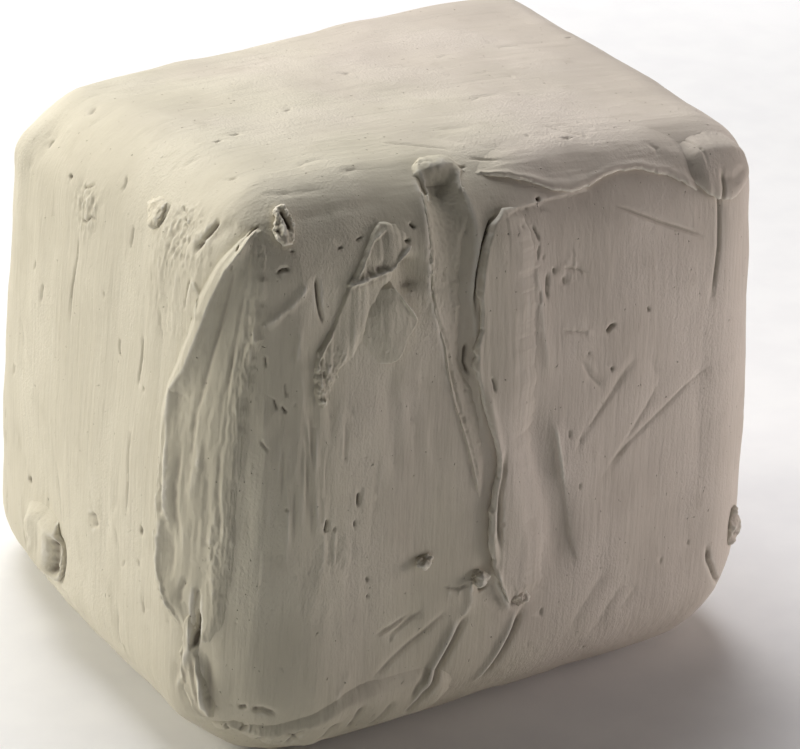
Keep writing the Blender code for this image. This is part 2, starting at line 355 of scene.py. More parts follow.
GROOVES = [
    ([(-80.2, 167), (-79, 159), (-77, 151)], 0.7, 1.4),
    ([(0, 124), (6, 105), (11, 88), (15, 70), (18, 48)], 5.6, 2.3),
    ([(-8, 104), (-8, 96), (-9.6, 88), (-9.4, 76), (-8.6, 68)], 1.0, 1.2),
    ([(86, 184), (84.8, 168), (84.4, 154), (82.6, 143), (80, 131)], 0.8, 1.0),
    ([(80, 131), (76, 104), (76, 66)], 3.0, 0.45),
    ([(81, 49), (82.5, 40), (88, 31), (96, 24)], 1.1, 1.5),
    ([(-18, 52), (-24, 41), (-31, 30), (-38, 20)], 1.3, 1.4),
    ([(4.5, 48), (0, 38), (-6, 28), (-12, 18)], 1.2, 1.3),
    ([(-58, 34), (-48, 41), (-38, 46), (-24, 54)], 1.0, 0.9),
    ([(22, 30), (29, 40), (38, 52)], 1.4, 0.6),
    ([(30, 24), (38, 35), (47, 46)], 1.2, 0.5),
    ([(-213, 44), (-213, 36), (-214.5, 26)], 2.6, 4.2),
    ([(-128, 186), (-132, 178), (-137, 169)], 1.1, 1.8),
    ([(-117, 189), (-125, 182), (-131, 175)], 2.6, 0.8),
    ([(-126.4, 62), (-127, 56), (-129.5, 47)], 1.3, 2.6),
    ([(-124, 50), (-121, 36), (-119, 22)], 2.2, 0.8),
    ([(-137, 44), (-134, 30), (-128, 16)], 2.6, 0.8),
    ([(-100, 30), (-94, 31), (-88, 29)], 1.3, 1.3),
    ([(-106, 29), (-101, 31)], 1.0, 1.1),
    ([(-190, 65), (-187, 60)], 2.6, 1.2),
    ([(-46, 169), (-45, 163), (-43.5, 156)], 4.2, 2.1),
    ([(-6.5, 178), (-11.4, 175), (-15.4, 168), (-17.6, 160), (-18.6, 152), (-18.4, 144)], 0.7, 1.8),
    ([(-21.4, 139), (-22.2, 132), (-20.2, 127)], 0.7, 1.2),
    ([(-94, 188), (-84, 187), (-70, 189), (-56, 189), (-42, 190)], 2.6, 0.5),
    ([(-53, 136), (-50, 118), (-46, 95)], 3.0, 0.8),
    ([(-44, 136), (-42, 116), (-39, 92)], 2.4, 0.6),
    ([(-40, 140), (-36, 120), (-31, 96)], 2.0, 0.5),
]
RIDGES = [
    ([(-81, 167), (-88, 159), (-94, 155), (-101, 151)], 1.2, 0.8),
    ([(-87, 156), (-85.4, 149), (-87, 139)], 0.9, 0.5),
    ([(-84, 150), (-85, 140), (-84, 132)], 0.8, 0.4),
    ([(-10, 65), (-8.6, 58), (-5, 51), (-1, 45)], 1.3, 1.5),
    ([(-19, 63), (-18.5, 54), (-22, 47)], 1.5, 0.9),
    ([(-21.5, 52), (-27.5, 41), (-34.5, 30), (-41, 20)], 1.4, 1.3),
    ([(1.5, 48), (-3, 38), (-9, 28), (-15, 18)], 1.3, 1.1),
    ([(-128, 50), (-125, 36), (-122, 20)], 1.5, 1.2),
    ([(-133, 40), (-131, 28), (-126, 16)], 1.4, 0.9),
    ([(7.5, 165), (6.2, 156), (7.2, 146), (9, 134), (11, 118)], 1.5, 0.7),
    ([(13.5, 108), (15.5, 95), (17.5, 84)], 1.1, 0.9),
    ([(-137, 30), (-133, 40), (-130.5, 49)], 1.2, 1.0),
    ([(-126, 24), (-124, 36), (-124.5, 48)], 1.3, 1.0),
    ([(-69, 31), (-63, 42)], 1.2, 0.5),
]
LAPS = [
    ([(-136, 163.5), (-133, 162), (-130, 159), (-128, 152)], 0.8, 9.0),
    ([(35, 181.5), (27, 180), (14, 179), (0, 177.5), (-10, 174.5)], 0.7, 8.0),
    ([(26, 52), (21, 66), (19.5, 75), (17.5, 84), (15.5, 95), (12.5, 107)], 0.7, 16.0),
]
print(len(CRACKS), "cracks,", len(SCRATCHES), "scratches,", len(GROOVES), "grooves,", len(RIDGES),
      "ridges")

# %% [markdown]
# ## The sides that nobody chose
#
# The back, the right and the underside carry the same sort of marks without a story: short drags,
# splits and nicks. A seeded draw scatters them, so each run gives the same block. Long marks lean
# the way the hand moved, which on the upright sides is up and down.

# %% Scattered marks
def scattered(seed, region, count, length, lean, width, depth):
    """Bowed three-point paths at random places, leaning within about 10 degrees of lean."""
    draw = np.random.default_rng(seed)
    marks = []
    for _ in range(count):
        middle = np.array([draw.uniform(*region[:2]), draw.uniform(*region[2:])])
        angle = np.radians(lean + draw.normal(0, 10))
        reach = np.array([np.cos(angle), np.sin(angle)]) * draw.uniform(*length) / 2
        bow = np.array([-reach[1], reach[0]]) * draw.normal(0, 0.18)
        path = [tuple(middle - reach), tuple(middle + bow), tuple(middle + reach)]
        marks.append((path, draw.uniform(*width), draw.uniform(*depth)))
    return marks


RIGHT_SIDE = (118, 275, 12, 180)
BACK_SIDE = (BACK_SHIFT - 100, BACK_SHIFT + 100, 12, 180)
UNDER_SIDE = (UNDER_SHIFT - 100, UNDER_SHIFT + 100, -78, 78)
TOP_SIDE = (-100, 100, 200, 355)
LEFT_SIDE = (-275, -150, 12, 180)
FRONT_SIDE = (-95, 105, 20, 175)

for seed, side in enumerate((RIGHT_SIDE, BACK_SIDE)):
    CRACKS += scattered(40 + seed, side, 24, (2, 11), 90, (0.35, 0.55), (0.4, 1.0))
    SCRATCHES += scattered(50 + seed, side, 24, (15, 70), 88, (0.5, 1.0), (0.25, 0.5))
    RIDGES += scattered(60 + seed, side, 12, (20, 60), 90, (0.8, 1.6), (0.25, 0.6))
    GROOVES += scattered(70 + seed, side, 6, (40, 110), 88, (4.0, 9.0), (0.6, 1.3))
CRACKS += scattered(42, UNDER_SIDE, 26, (3, 14), 12, (0.4, 0.6), (0.5, 1.0))
SCRATCHES += scattered(52, UNDER_SIDE, 26, (20, 90), 8, (0.6, 1.2), (0.25, 0.6))
CRACKS += scattered(43, TOP_SIDE, 9, (1.5, 5), 10, (0.4, 0.6), (0.4, 0.9))
SCRATCHES += scattered(53, TOP_SIDE, 16, (10, 40), -18, (0.6, 1.1), (0.2, 0.4))
CRACKS += scattered(44, LEFT_SIDE, 14, (2, 9), 90, (0.35, 0.5), (0.4, 0.9))
SCRATCHES += scattered(54, LEFT_SIDE, 12, (12, 45), 90, (0.6, 1.2), (0.2, 0.45))
CRACKS += scattered(45, FRONT_SIDE, 16, (1.0, 4), 85, (0.32, 0.42), (0.4, 0.8))
print("all marks:", len(CRACKS) + len(SCRATCHES) + len(GROOVES) + len(RIDGES) + len(LAPS))

# %% [markdown]
# ## The thumb's channel
#
# A thumb pushed into the top edge and drawn down leaves a channel that gets narrower and shallower.
# Its section is a parabola, with a little clay pushed up on both sides. A single bell curve would
# look like a dent in dough; the parabola keeps the crisp shoulders.

# %% The channel
THUMB_PATH = [(-27, 203), (-27.5, 190), (-27, 172), (-27.5, 157), (-26, 144), (-24, 130), (-20, 114),
              (-16, 98)]
THUMB_HALF = [8.0, 7.5, 9.0, 8.6, 6.6, 5.0, 3.6, 2.2]
THUMB_DEPTH = [2.4, 4.2, 3.6, 2.8, 2.2, 1.7, 1.0, 0.0]


def path_stations(path):
    """How far along a path each of its points is, from 0 to 1."""
    run = np.concatenate([[0], np.cumsum(np.hypot(*np.diff(np.array(path, float), axis=0).T))])
    return run / run[-1]


def thumb_channel(height, across, up):
    """Minus depth times (1 - (distance / half width)^2), with a small bell of clay at each shoulder."""
    chosen = near(across, up, THUMB_PATH, 14)
    distance, along = path_distance(across[chosen], up[chosen], THUMB_PATH)
    stations = path_stations(THUMB_PATH)
    half = np.interp(along, stations, THUMB_HALF)
    depth = np.interp(along, stations, THUMB_DEPTH) * np.clip((201 - up[chosen]) / 6, 0, 1)
    share = np.abs(distance) / half
    shoulder = np.exp(-(((share - 1.15) / 0.18) ** 2))
    height[chosen] += depth * (0.14 * shoulder - np.clip(1 - share**2, 0, 1))


print("channel length:", round(float(np.hypot(*np.diff(np.array(THUMB_PATH), axis=0).T).sum()), 1), "mm")

# %% [markdown]
# ## Soft relief, drag streaks and crumbly patches
#
# Under the marks lies the slow relief of a squeezed lump: hollows where a palm sat, swellings where
# clay was pushed. Over it run the streaks that wet hands leave, drawn out along the drag, and here
# and there a crumbly patch where half-dry bits were rubbed in.

# %% Soft relief
SOFT_SHAPES = [
    # (centre in the lump's own space, radii, depth); a negative depth swells.
    ((-32, 50, 196), (34, 15, 30), 2.4),
    ((-5, -14, 200), (26, 10, 30), 1.1),
    ((30, 20, 196), (40, 30, 30), 0.8),
    ((-94, -92, 6), (26, 26, 16), 3.2),
    ((104, -72, 12), (22, 22, 20), 4.4),
    ((-98, 66, 180), (13, 13, 13), 2.6),
    ((-104, 48, 176), (9, 9, 9), 2.6),
    ((-106, 66, 166), (9, 12, 9), -2.2),
    ((-94, 84, 178), (9, 9, 9), -1.5),
    ((-112, 46, 38), (9, 14, 12), -3.2),
    ((-108, 20, 20), (12, 18, 10), -1.6),
    ((0, -98, 3), (70, 16, 9), -1.6),
    ((60, -92, 90), (22, 20, 60), 0.9),
    ((-55, -104, 95), (26, 20, 45), 1.0),
    ((-112, -20, 120), (20, 14, 60), 0.8),
    ((106, 20, 110), (20, 26, 45), 1.5),
    ((104, -30, 70), (20, 18, 40), -1.2),
    ((20, 96, 120), (45, 20, 40), 1.8),
    ((-50, 96, 60), (35, 20, 35), -1.4),
]
# Crumbly patches: (across, up), (radii), height.
PATCHES = [
    ((-147, 175), (9, 10), 0.9),
    ((-131, 172), (6, 9), 0.6),
    ((-104, 150), (5, 13), 0.7),
    ((-109, 128), (4, 12), 0.5),
    ((-78, 134), (3.2, 7), 0.9),
    ((-58, 165), (12, 3.5), 0.6),
    ((-35.5, 160), (2.5, 9), 0.7),
    ((-22, 60), (9, 4), 0.7),
    ((-2, 51), (9, 5), 0.7),
    ((-140, 60), (6, 7), 0.7),
    ((-207, 165), (8, 8), 1.5),
    ((-100, 185), (7, 8), 0.5),
    ((-95, 20), (20, 7), 0.4),
    ((20, 157), (7, 10), 0.5),
    ((26, 136), (8, 8), 0.4),
    ((-150, 160), (16, 24), 0.5),
    ((-130, 110), (12, 30), 0.35),
    ((-142, 88), (4, 20), 0.7),
    ((-118, 78), (6, 14), 0.5),
    ((-70, 78), (7, 9), 0.5),
    ((102, 46), (6, 10), 0.7),
    ((150, 150), (14, 12), 0.7),
    ((210, 60), (12, 20), 0.7),
    ((BACK_SHIFT - 40, 130), (18, 14), 0.7),
    ((BACK_SHIFT + 55, 50), (14, 20), 0.7),
    ((UNDER_SHIFT + 20, 10), (40, 24), 0.5),
]
# Strength of the slow noise, by size in millimetres.
SLOW = {46: 0.9, 21: 0.5, 9: 0.22}


def soft_relief(points):
    """Three sizes of slow noise, long upright ripples, and the bell-shaped hollows and swellings."""
    height = sum(strength * grain(points, size, size) for size, strength in SLOW.items())
    height += 0.3 * grain(points, (11, 11, 90), 6)
    for centre, radii, depth in SOFT_SHAPES:
        dent(height, points, centre, radii, depth)
    return height


def drag_streaks(points, outward):
    """Noise drawn out along the height on the sides and along the width on the top, by its share.

    Slow noise makes the streaks patchy. The front is calm, but for a stretch on its left that has a
    grain like split wood.
    """
    bent = points.copy()
    bent[:, 0] += 4.0 * grain(points, 40, 21)
    bent[:, 1] += 4.0 * grain(points, 40, 25)
    patchy = np.clip(0.55 + 1.1 * grain(points, (24, 24, 50), 29), 0.1, 1.4)
    upright = (0.11 * (1 - 2.2 * np.abs(grain(bent, (2.2, 2.2, 30), 22)))
               + 0.14 * grain(bent, (1.2, 1.2, 20), 23))
    upright = upright * patchy + 0.40 * grain(bent, (6.0, 6.0, 70), 24)
    front = np.clip(-outward[:, 1], 0, 1)
    upright *= 1 - 0.62 * front * np.clip((points[:, 0] + 75) / 25, 0, 1)
    woody = np.exp(-(((points[:, 0] + 80) / 24) ** 2) - ((points[:, 2] - 112) / 55) ** 2) * front
    upright -= woody * np.clip(np.abs(layers(bent, (3.4, 3.4, 34), 28, 2, 0.7)) - 0.12, 0, 0.8)
    turned = bent @ np.array([[0.95, 0.31, 0], [-0.31, 0.95, 0], [0, 0, 1.0]]).T
    flat = 0.10 * patchy * grain(turned, (18, 2.4, 6), 26) + 0.16 * grain(turned, (40, 7.0, 12), 27)
    top = np.clip(outward[:, 2], 0, 1) ** 2
    return upright * (1 - top) + flat * top


def rubbed_in(height, across, up, points):
    """Crumbs: the ridges of small noise, under a bell curve around each patch, plus stray pits."""
    for centre, radii, rise in PATCHES:
        away = ((across - centre[0]) / radii[0]) ** 2 + ((up - centre[1]) / radii[1]) ** 2
        chosen = away < 5
        lumps = np.clip(layers(points[chosen], (1.0, 1.0, 3.4), 31, 2, 0.8), -0.6, 0.8)
        height[chosen] += rise * np.exp(-away[chosen]) * 0.55 * lumps
    stray = np.clip(grain(points, 1.5, 33) - 0.72, 0, 1) * np.clip(0.5 + grain(points, 30, 34), 0, 1)
    height -= 1.1 * stray


print("soft shapes:", len(SOFT_SHAPES), "crumbly patches:", len(PATCHES))

# %% [markdown]
# ## The worked skin
#
# One function now gives the height of the finished skin over the plain lump at any place. The
# block takes it as it is, and every scrap pressed onto the block adds its own thickness to it, so a
# smear's thin edge can sink into the block without a gap or a step.

# %% Height of the worked skin
def worked_skin(points, outward, across, up):
    """Soft relief, channel, streaks and patches, plus a bell-shaped stroke for every mark."""
    height = soft_relief(points)
    thumb_channel(height, across, up)
    height += drag_streaks(points, outward)
    rubbed_in(height, across, up, points)
    for path, width, depth in GROOVES:
        valley(height, across, up, path, width, depth)
    for path, width, depth in CRACKS:
        valley(height, across, up, path, width, depth, 0.3)
    for path, width, depth in SCRATCHES:
        valley(height, across, up, path, width, depth, 0.4)
    for path, width, rise in RIDGES:
        valley(height, across, up, path, width, -rise)
    for path, rise, reach in LAPS:
        lap(height, across, up, path, rise, reach)
    # The base rests flat: there the skin may only sink, and only a little.
    base = np.clip(-outward[:, 2], 0, 1) ** 3
    return height * (1 - base) + base * 0.6 * np.minimum(height - 0.6, 0)


def place(box_points, extra=0.0):
    """Box points to finished points in millimetres: lump, plus height times outward, plus STAND.

    Also gives the height over the lump and how far each point faces up.
    """
    points, outward = lump(box_points)
    height = worked_skin(points, outward, *unfold(box_points)) + extra
    return points + height[:, None] * outward + STAND, height, np.clip(outward[:, 2], 0, 1)


def window_mean(grid, reach):
    """The mean over a square window around each grid point, from running sums; edges are held."""
    for axis in (0, 1):
        pad = [(reach + 1, reach) if i == axis else (0, 0) for i in (0, 1)]
        run = np.cumsum(np.pad(grid, pad, mode="edge"), axis=axis)
        size = 2 * reach + 1
        grid = (np.take(run, range(size, run.shape[axis]), axis)
                - np.take(run, range(run.shape[axis] - size), axis)) / size
    return grid


def proudness(grid, reach):
    """Where the skin stands proud of its surroundings (up to 1) or lies below them (down to -1).

    The clay's colour paints a highlight where it is high and shade where it is low.
    """
    proud = grid - window_mean(grid, reach)
    rows, columns = (np.minimum(np.arange(n), np.arange(n)[::-1]) for n in grid.shape)
    inside = np.clip(np.minimum(rows[:, None], columns) / reach, 0, 1)
    return np.clip(proud * inside, -1, 1)


print("the skin's box:", place(box_grid(33))[0].min(0).round(1),
      place(box_grid(33))[0].max(0).round(1), "mm")

# %% [markdown]
# ## The block's mesh
#
# A crack needs points half a millimetre apart, and half a million of them would cover the whole
# block. Most of the skin needs no such thing. So the lattice is fine everywhere, but the faces are
# squares of 8, 4, 2 or 1 steps: a square is split while the skin inside it bends away from a flat
# patch. Where big squares meet small ones, the big one's outline takes the small ones' corners
# along, so there are no gaps.

# %% Mesh tools
LATTICE = np.array([440, 344, 384])
BEND = {8: 0.16, 4: 0.13, 2: 0.10}


def make_piece(name, points_mm, corners, totals, marks=None):
    """Points, a run of corners and the corner count of each face, put in by foreach_set.

    marks holds two columns for the material: "top", facing up, and "proud", standing out,
    which the material turns into a painted highlight where high and painted shade where low.
    """
    mesh = bpy.data.meshes.new(name)
    mesh.vertices.add(len(points_mm))
    mesh.vertices.foreach_set("co", (points_mm * MM).astype(np.float32).ravel())
    mesh.loops.add(len(corners))
    mesh.loops.foreach_set("vertex_index", corners.astype(np.int32))
    mesh.polygons.add(len(totals))
    starts = np.concatenate([[0], np.cumsum(totals)[:-1]])
    mesh.polygons.foreach_set("loop_start", starts.astype(np.int32))
    if marks is not None:
        for label, values in zip(("top", "proud"), marks.T):
            layer = mesh.attributes.new(label, "FLOAT", "POINT")
            layer.data.foreach_set("value", values.astype(np.float32))
    mesh.update(calc_edges=True)
    mesh.shade_smooth()
    piece = bpy.data.objects.new(name, mesh)
    bpy.context.scene.collection.objects.link(piece)
    return piece


def side_lattice(axis, side):
    """Lattice points of one side as a grid, with rows and columns turned so faces point outward."""
    first, second = ((axis + 1) % 3, (axis + 2) % 3) if side else ((axis + 2) % 3, (axis + 1) % 3)
    rows, columns = np.meshgrid(np.arange(LATTICE[first] + 1), np.arange(LATTICE[second] + 1),
                                indexing="ij")
    grid = np.zeros(rows.shape + (3,), np.int64)
    grid[..., first], grid[..., second], grid[..., axis] = rows, columns, side * LATTICE[axis]
    return grid


def lattice_key(grid):
    """One whole number for each lattice point, the same from whichever side it is reached."""
    return (grid[..., 0] * (LATTICE[1] + 1) + grid[..., 1]) * (LATTICE[2] + 1) + grid[..., 2]


def split_cells(place_grid):
    """Cells (row, column, size). A cell splits when its inside strays from the bilinear patch."""
    rows, columns = (n - 1 for n in place_grid.shape[:2])
    row, column = (a.ravel() for a in np.mgrid[0:rows:8, 0:columns:8])
    cells = []
    for size in (8, 4, 2):
        t = np.arange(size + 1) / size
        patch = place_grid[row[:, None, None] + np.arange(size + 1)[:, None],
                           column[:, None, None] + np.arange(size + 1)]
        low = patch[:, :1, :1] * (1 - t)[None, :, None, None] + patch[:, -1:, :1] * t[None, :, None, None]
        high = (patch[:, :1, -1:] * (1 - t)[None, :, None, None]
                + patch[:, -1:, -1:] * t[None, :, None, None])
        flat = low * (1 - t)[None, None, :, None] + high * t[None, None, :, None]
        bent = np.linalg.norm(patch - flat, axis=3).max(axis=(1, 2)) > BEND[size]
        cells.append((row[~bent], column[~bent], size))
        half = size // 2
        row = (row[bent, None] + np.array([0, 0, half, half])).ravel()
        column = (column[bent, None] + np.array([0, half, 0, half])).ravel()
    return cells + [(row, column, 1)]


def cell_outline(row, column, size):
    """The lattice points around each cell, one row of them a cell."""
    step = np.arange(size)
    zero, full = np.zeros(size, int), np.full(size, size)
    down = np.concatenate([step, full, size - step, zero])
    right = np.concatenate([zero, step, full, size - step])
    return row[:, None] + down, column[:, None] + right


print("lattice steps:", (2 * HALF / LATTICE).round(3), "mm")

# %% The block
def block_mesh():
    """Every side's lattice is placed, split and outlined; shared keys join the sides."""
    keys, places, top_and_shading_marks, used, outlines = [], [], [], [], []
    for axis, side in itertools.product(range(3), (0, 1)):
        grid = side_lattice(axis, side)
        key = lattice_key(grid)
        box_points = grid.reshape(-1, 3) / LATTICE * 2 * HALF - [HALF_WIDTH, HALF_DEPTH, 0]
        placed, height, top = place(box_points)
        keys.append(key.ravel())
        places.append(placed)
        # Second column: where the skin stands proud or sinks in, for the painted highlight and painted
        # shade in the clay's colour.
        top_and_shading_marks.append(np.stack([top, proudness(height.reshape(key.shape), 4).ravel()], axis=1))
        for row, column, size in split_cells(placed.reshape(grid.shape)):
            for i, j in itertools.product((0, size), repeat=2):
                used.append(key[row + i, column + j])
            outlines.append(key[cell_outline(row, column, size)])
    keys, first = np.unique(np.concatenate(keys), return_index=True)
    used = np.unique(np.concatenate(used))
    kept = first[np.searchsorted(keys, used)]
    corners, totals = [], []
    for outline in outlines:
        keep = np.isin(outline, used)
        corners.append(np.searchsorted(used, outline[keep]))
        totals.append(keep.sum(axis=1))
    totals = np.concatenate(totals)
    points = np.concatenate(places)[kept]
    print("block triangles:", int((totals - 2).sum()), "points:", len(points))
    return points, np.concatenate(corners), totals, np.concatenate(top_and_shading_marks)[kept]


block = make_piece("clay_block", *block_mesh())
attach(block, "root")
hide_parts("core_block")

# %% [markdown]
# ## Scraps pressed onto the block
#
# Each smear, flake and skin is a separate bit of clay that a hand laid on the block. Its outline is
# a list of stations: how far along it, and where its two sides are. A grid is stretched between
# them. A torn side ends in a blunt round with a little undercut, so it throws a thin shadow, and a
# pressed side thins out and dips under the block's skin. A second grid a little below closes it.

# %% Scrap tools
SINK = 0.5
UNDERSIDE = 1.3
TORN, SOFT = 1, 0
# How strongly torn sides get a painted highlight.
RIM_HIGHLIGHT_STRENGTH = 0.5


def side_share(distance, kind, reach):
    """Share of the thickness near a side. Torn: a quarter round from a blunt lip. Soft: an ease."""
    t = np.clip(distance / reach, 0, 1)
    if kind == TORN:
        return 0.5 + 0.5 * np.sqrt(1 - (1 - t) ** 2)
    return t * t * (3 - 2 * t)


def torn_rim_highlight(from_first, from_head, sides, ends, width, length):
    """Where a painted highlight goes: 1 on a torn side, falling as a bell curve within a millimetre; 0
    elsewhere.
    """
    rim = 0
    distances = (from_first, width - from_first, from_head, length - from_head)
    for (kind, _), distance in zip((*sides, *ends), distances):
        if kind == TORN:
            rim = np.maximum(rim, np.exp(-((distance / 0.8) ** 2)))
    return rim


def smooth_run(values, width):
    """A running mean, with both ends held."""
    padded = np.pad(values, width, mode="edge")
    return np.convolve(padded, np.ones(2 * width + 1) / (2 * width + 1), mode="valid")


def outline(stations, rows, ragged, seed):
    """Both sides at even steps along, joined by straight lines, eased, and made ragged by noise."""
    stations = np.array(stations, float)
    along = np.linspace(stations[0, 0], stations[-1, 0], rows)
    order = np.argsort(stations[:, 0])
    sides = []
    for column in (1, 2):
        line = np.interp(along, stations[order, 0], stations[order, column])
        line = smooth_run(line, max(2, rows // 60))
        spot = np.stack([along, 0 * along + 31.7 * column], axis=1)
        rough = layers(spot, (3.2, 9), seed + column, 3, 0.6)
        sides.append(line + ragged[column - 1] * rough)
    return along, sides[0], sides[1]


def closed_pillow(upper, lower):
    """Faces of two like grids joined round their border; reversed if the volume comes out negative."""
    rows, columns = upper.shape[:2]
    top = np.arange(rows * columns).reshape(rows, columns)
    under = top + rows * columns
    quads = [np.stack([top[:-1, :-1], top[1:, :-1], top[1:, 1:], top[:-1, 1:]], axis=-1).reshape(-1, 4)]
    quads.append(np.stack([under[:-1, :-1], under[:-1, 1:], under[1:, 1:], under[1:, :-1]],
                          axis=-1).reshape(-1, 4))
    rim = np.concatenate([top[0, :], top[1:, -1], top[-1, -2::-1], top[-2:0:-1, 0]])
    after = np.roll(rim, -1)
    quads.append(np.stack([rim, after, after + rows * columns, rim + rows * columns], axis=1))
    quads = np.concatenate(quads)
    points = np.concatenate([upper.reshape(-1, 3), lower.reshape(-1, 3)])
    a, b, c, d = (points[quads[:, i]] for i in range(4))
    volume = (np.einsum("ij,ij->i", a, np.cross(b, c))
              + np.einsum("ij,ij->i", a, np.cross(c, d))).sum() / 6
    return points, quads if volume > 0 else quads[:, ::-1]


def scrap(name, stations, thick, sides, ends, level=False, step=0.45, ragged=(0.5, 0.5), tuck=0.5,
          seed=1, dress=None):
    """A closed piece over the skin: thickness times the four side shares, plus its own strokes.

    sides holds (kind, reach) for the first and second side, ends for the head and the foot.
    dress(thickness, across, up, share) may carve the thickness; share runs from side to side.
    """
    stations = np.array(stations, float)
    rows = int(abs(stations[-1, 0] - stations[0, 0]) / step) + 2
    columns = int(np.abs(stations[:, 2] - stations[:, 1]).max() / step) + 8
    along, first, second = outline(stations, rows, ragged, seed)
    t = np.linspace(0, 1, columns)
    share = t - 0.7 * np.sin(2 * np.pi * t) / (2 * np.pi)
    sideways = first[:, None] + (second - first)[:, None] * share
    lengthways = np.broadcast_to(along[:, None], sideways.shape)
    width = np.abs(second - first)[:, None]
    cover = side_share(share * width, *sides[0]) * side_share((1 - share) * width, *sides[1])
    cover = cover * side_share(np.abs(lengthways - along[0]), *ends[0])
    cover = cover * side_share(np.abs(lengthways - along[-1]), *ends[1])
    thickness = (thick + SINK) * cover - SINK
    if dress is not None:
        across, up = (lengthways, sideways) if level else (sideways, lengthways)
        flat = thickness.ravel().copy()
        dress(flat, across.ravel(), up.ravel(), np.broadcast_to(share, sideways.shape).ravel())
        thickness = flat.reshape(thickness.shape)
    shrink = np.clip(1 - 2 * tuck / np.maximum(width, 1e-3), 0.2, 1)
    middle = (first + second)[:, None] / 2
    skins, marks = [], []
    plain = (thick + SINK) * cover
    for spread, extra in ((1.0, thickness), (shrink, np.full(thickness.shape, -UNDERSIDE))):
        run = middle + (sideways - middle) * spread
        across, up = (lengthways, run) if level else (run, lengthways)
        placed, height, top = place(fold(across.ravel(), up.ravel()), extra.ravel())
        # Second mark column: standing out or sinking in, plus torn sides, for the painted highlight and
        # painted shade.
        proud = proudness(height.reshape(rows, columns) - plain, max(2, round(2 / step)))
        proud += RIM_HIGHLIGHT_STRENGTH * torn_rim_highlight(share * width, np.abs(lengthways - along[0]), sides, ends, width,
                                length=abs(along[-1] - along[0]))
        skins.append(placed.reshape(rows, columns, 3))
        marks.append(np.stack([top, proud.ravel()], axis=1))
    points, quads = closed_pillow(*skins)
    marks = np.concatenate(marks)
    piece = make_piece(name, points, quads.ravel(), np.full(len(quads), 4), marks)
    print(name, "triangles:", 2 * len(quads))
    return piece


def stand_for(piece, node):
    """The two frame calls that every piece needs."""
    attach(piece, "root")
    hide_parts(node)


print("scrap tools ready")

# %% [markdown]
# ## The smear down the near corner
#
# A long tongue of wetter clay was wiped down the near upright corner. Its left side is a crisp lap
# that stands off the left face, its right side is rubbed out into the front, and its foot splits
# into toes. Grooves run down it the way the hand went.

# %% Corner smear
SMEAR_CREST = [
    (-102, 188), (-107, 182), (-112, 176), (-117, 170), (-122.5, 160), (-127, 150), (-133.5, 136),
    (-139, 128), (-139.6, 120), (-139.2, 104), (-139.6, 90), (-141.5, 80), (-141.5, 70), (-137, 58),
    (-133.6, 52),
]
SMEAR_STATIONS = [
    (191, -105, -100), (187, -109, -98), (181, -114, -96), (170, -123, -94), (160, -129, -94),
    (150, -133, -95), (143, -137, -97), (136, -140, -99), (127, -144, -101), (119, -146.5, -103),
    (104, -146.5, -105), (88, -147, -106), (80, -148, -107), (72, -147, -108), (66, -144.5, -109),
    (62, -142, -110.5), (58, -139, -113), (54, -136.5, -116.5), (51, -134.6, -120),
]
SMEAR_STROKES = [
    # path, width, depth (a negative depth stands up)
    ([(-108, 181), (-113, 171), (-118, 158), (-125, 139), (-130, 122), (-132, 100)], 0.9, 0.55),
    ([(-104, 176), (-108, 162), (-112, 148), (-118, 130), (-121, 108)], 1.2, 0.4),
    ([(-139, 124), (-141, 106), (-140, 88), (-137, 74)], 1.3, 0.6),
    ([(-135, 112), (-136, 94), (-134, 78)], 0.9, 0.5),
    ([(-127, 116), (-129, 100), (-128, 86)], 1.5, -0.5),
    ([(-143.5, 122), (-145, 102), (-143.5, 84)], 0.8, -0.35),
    ([(-118, 120), (-119, 100), (-117, 80)], 1.0, 0.45),
    ([(-122, 92), (-121, 78), (-119, 64)], 1.2, -0.5),
    ([(-113, 150), (-116, 132), (-117, 112)], 0.7, 0.35),
]


def dress_smear(thickness, across, up, share):
    """A sharp crest along the left, grooves down the tongue, a slit between the toes, and ripples."""
    crest(thickness, across, up, SMEAR_CREST, 3.4, 6.5, 20.0, 0.08)
    for path, width, depth in SMEAR_STROKES:
        valley(thickness, across, up, path, width, depth)
    valley(thickness, across, up, [(-126.6, 70), (-127.6, 61), (-127, 46)], 1.0, 4.2, 0.35)
    valley(thickness, across, up, [(-131, 72), (-133.5, 66), (-134, 60)], 1.0, 0.8, 0.3)
    lap(thickness, across, up, [(-128, 152), (-131, 159), (-135, 164)], 0.6, 6.0)
    drag = np.stack([share * 40, up], axis=1)
    fall = np.clip(thickness / 1.5, 0, 1)
    thickness += fall * (0.24 * grain(drag, (3.4, 90), 301) + 0.10 * grain(drag, (1.2, 50), 302))
    low = np.clip((135 - up) / 40, 0, 1)
    thickness -= fall * low * 0.3 * np.clip(np.abs(grain(drag, (2.8, 90), 303)) - 0.25, 0, 1)
    spot = np.stack([across, up], axis=1)
    right = np.clip(share * 3 - 1.6, 0, 1) * np.clip(thickness / 0.5 + 0.6, 0, 1)
    thickness += right * 0.22 * np.clip(layers(spot, (1.0, 4.0), 304, 2, 0.8), -0.5, 1)
    rough = fall * np.clip((118 - up) / 30, 0, 1) * np.clip(0.4 + grain(spot, (8, 16), 305), 0, 1)
    thickness += rough * 0.2 * np.clip(layers(spot, (0.9, 1.6), 306, 2, 0.8), -0.5, 1)


corner_smear = scrap("corner_smear_clay", SMEAR_STATIONS, 1.1, ((SOFT, 6.0), (SOFT, 9.0)),
                     ((SOFT, 7.0), (TORN, 1.6)),
                     ragged=(0.1, 0.8), tuck=0.5, seed=11, dress=dress_smear)
stand_for(corner_smear, "corner_smear")

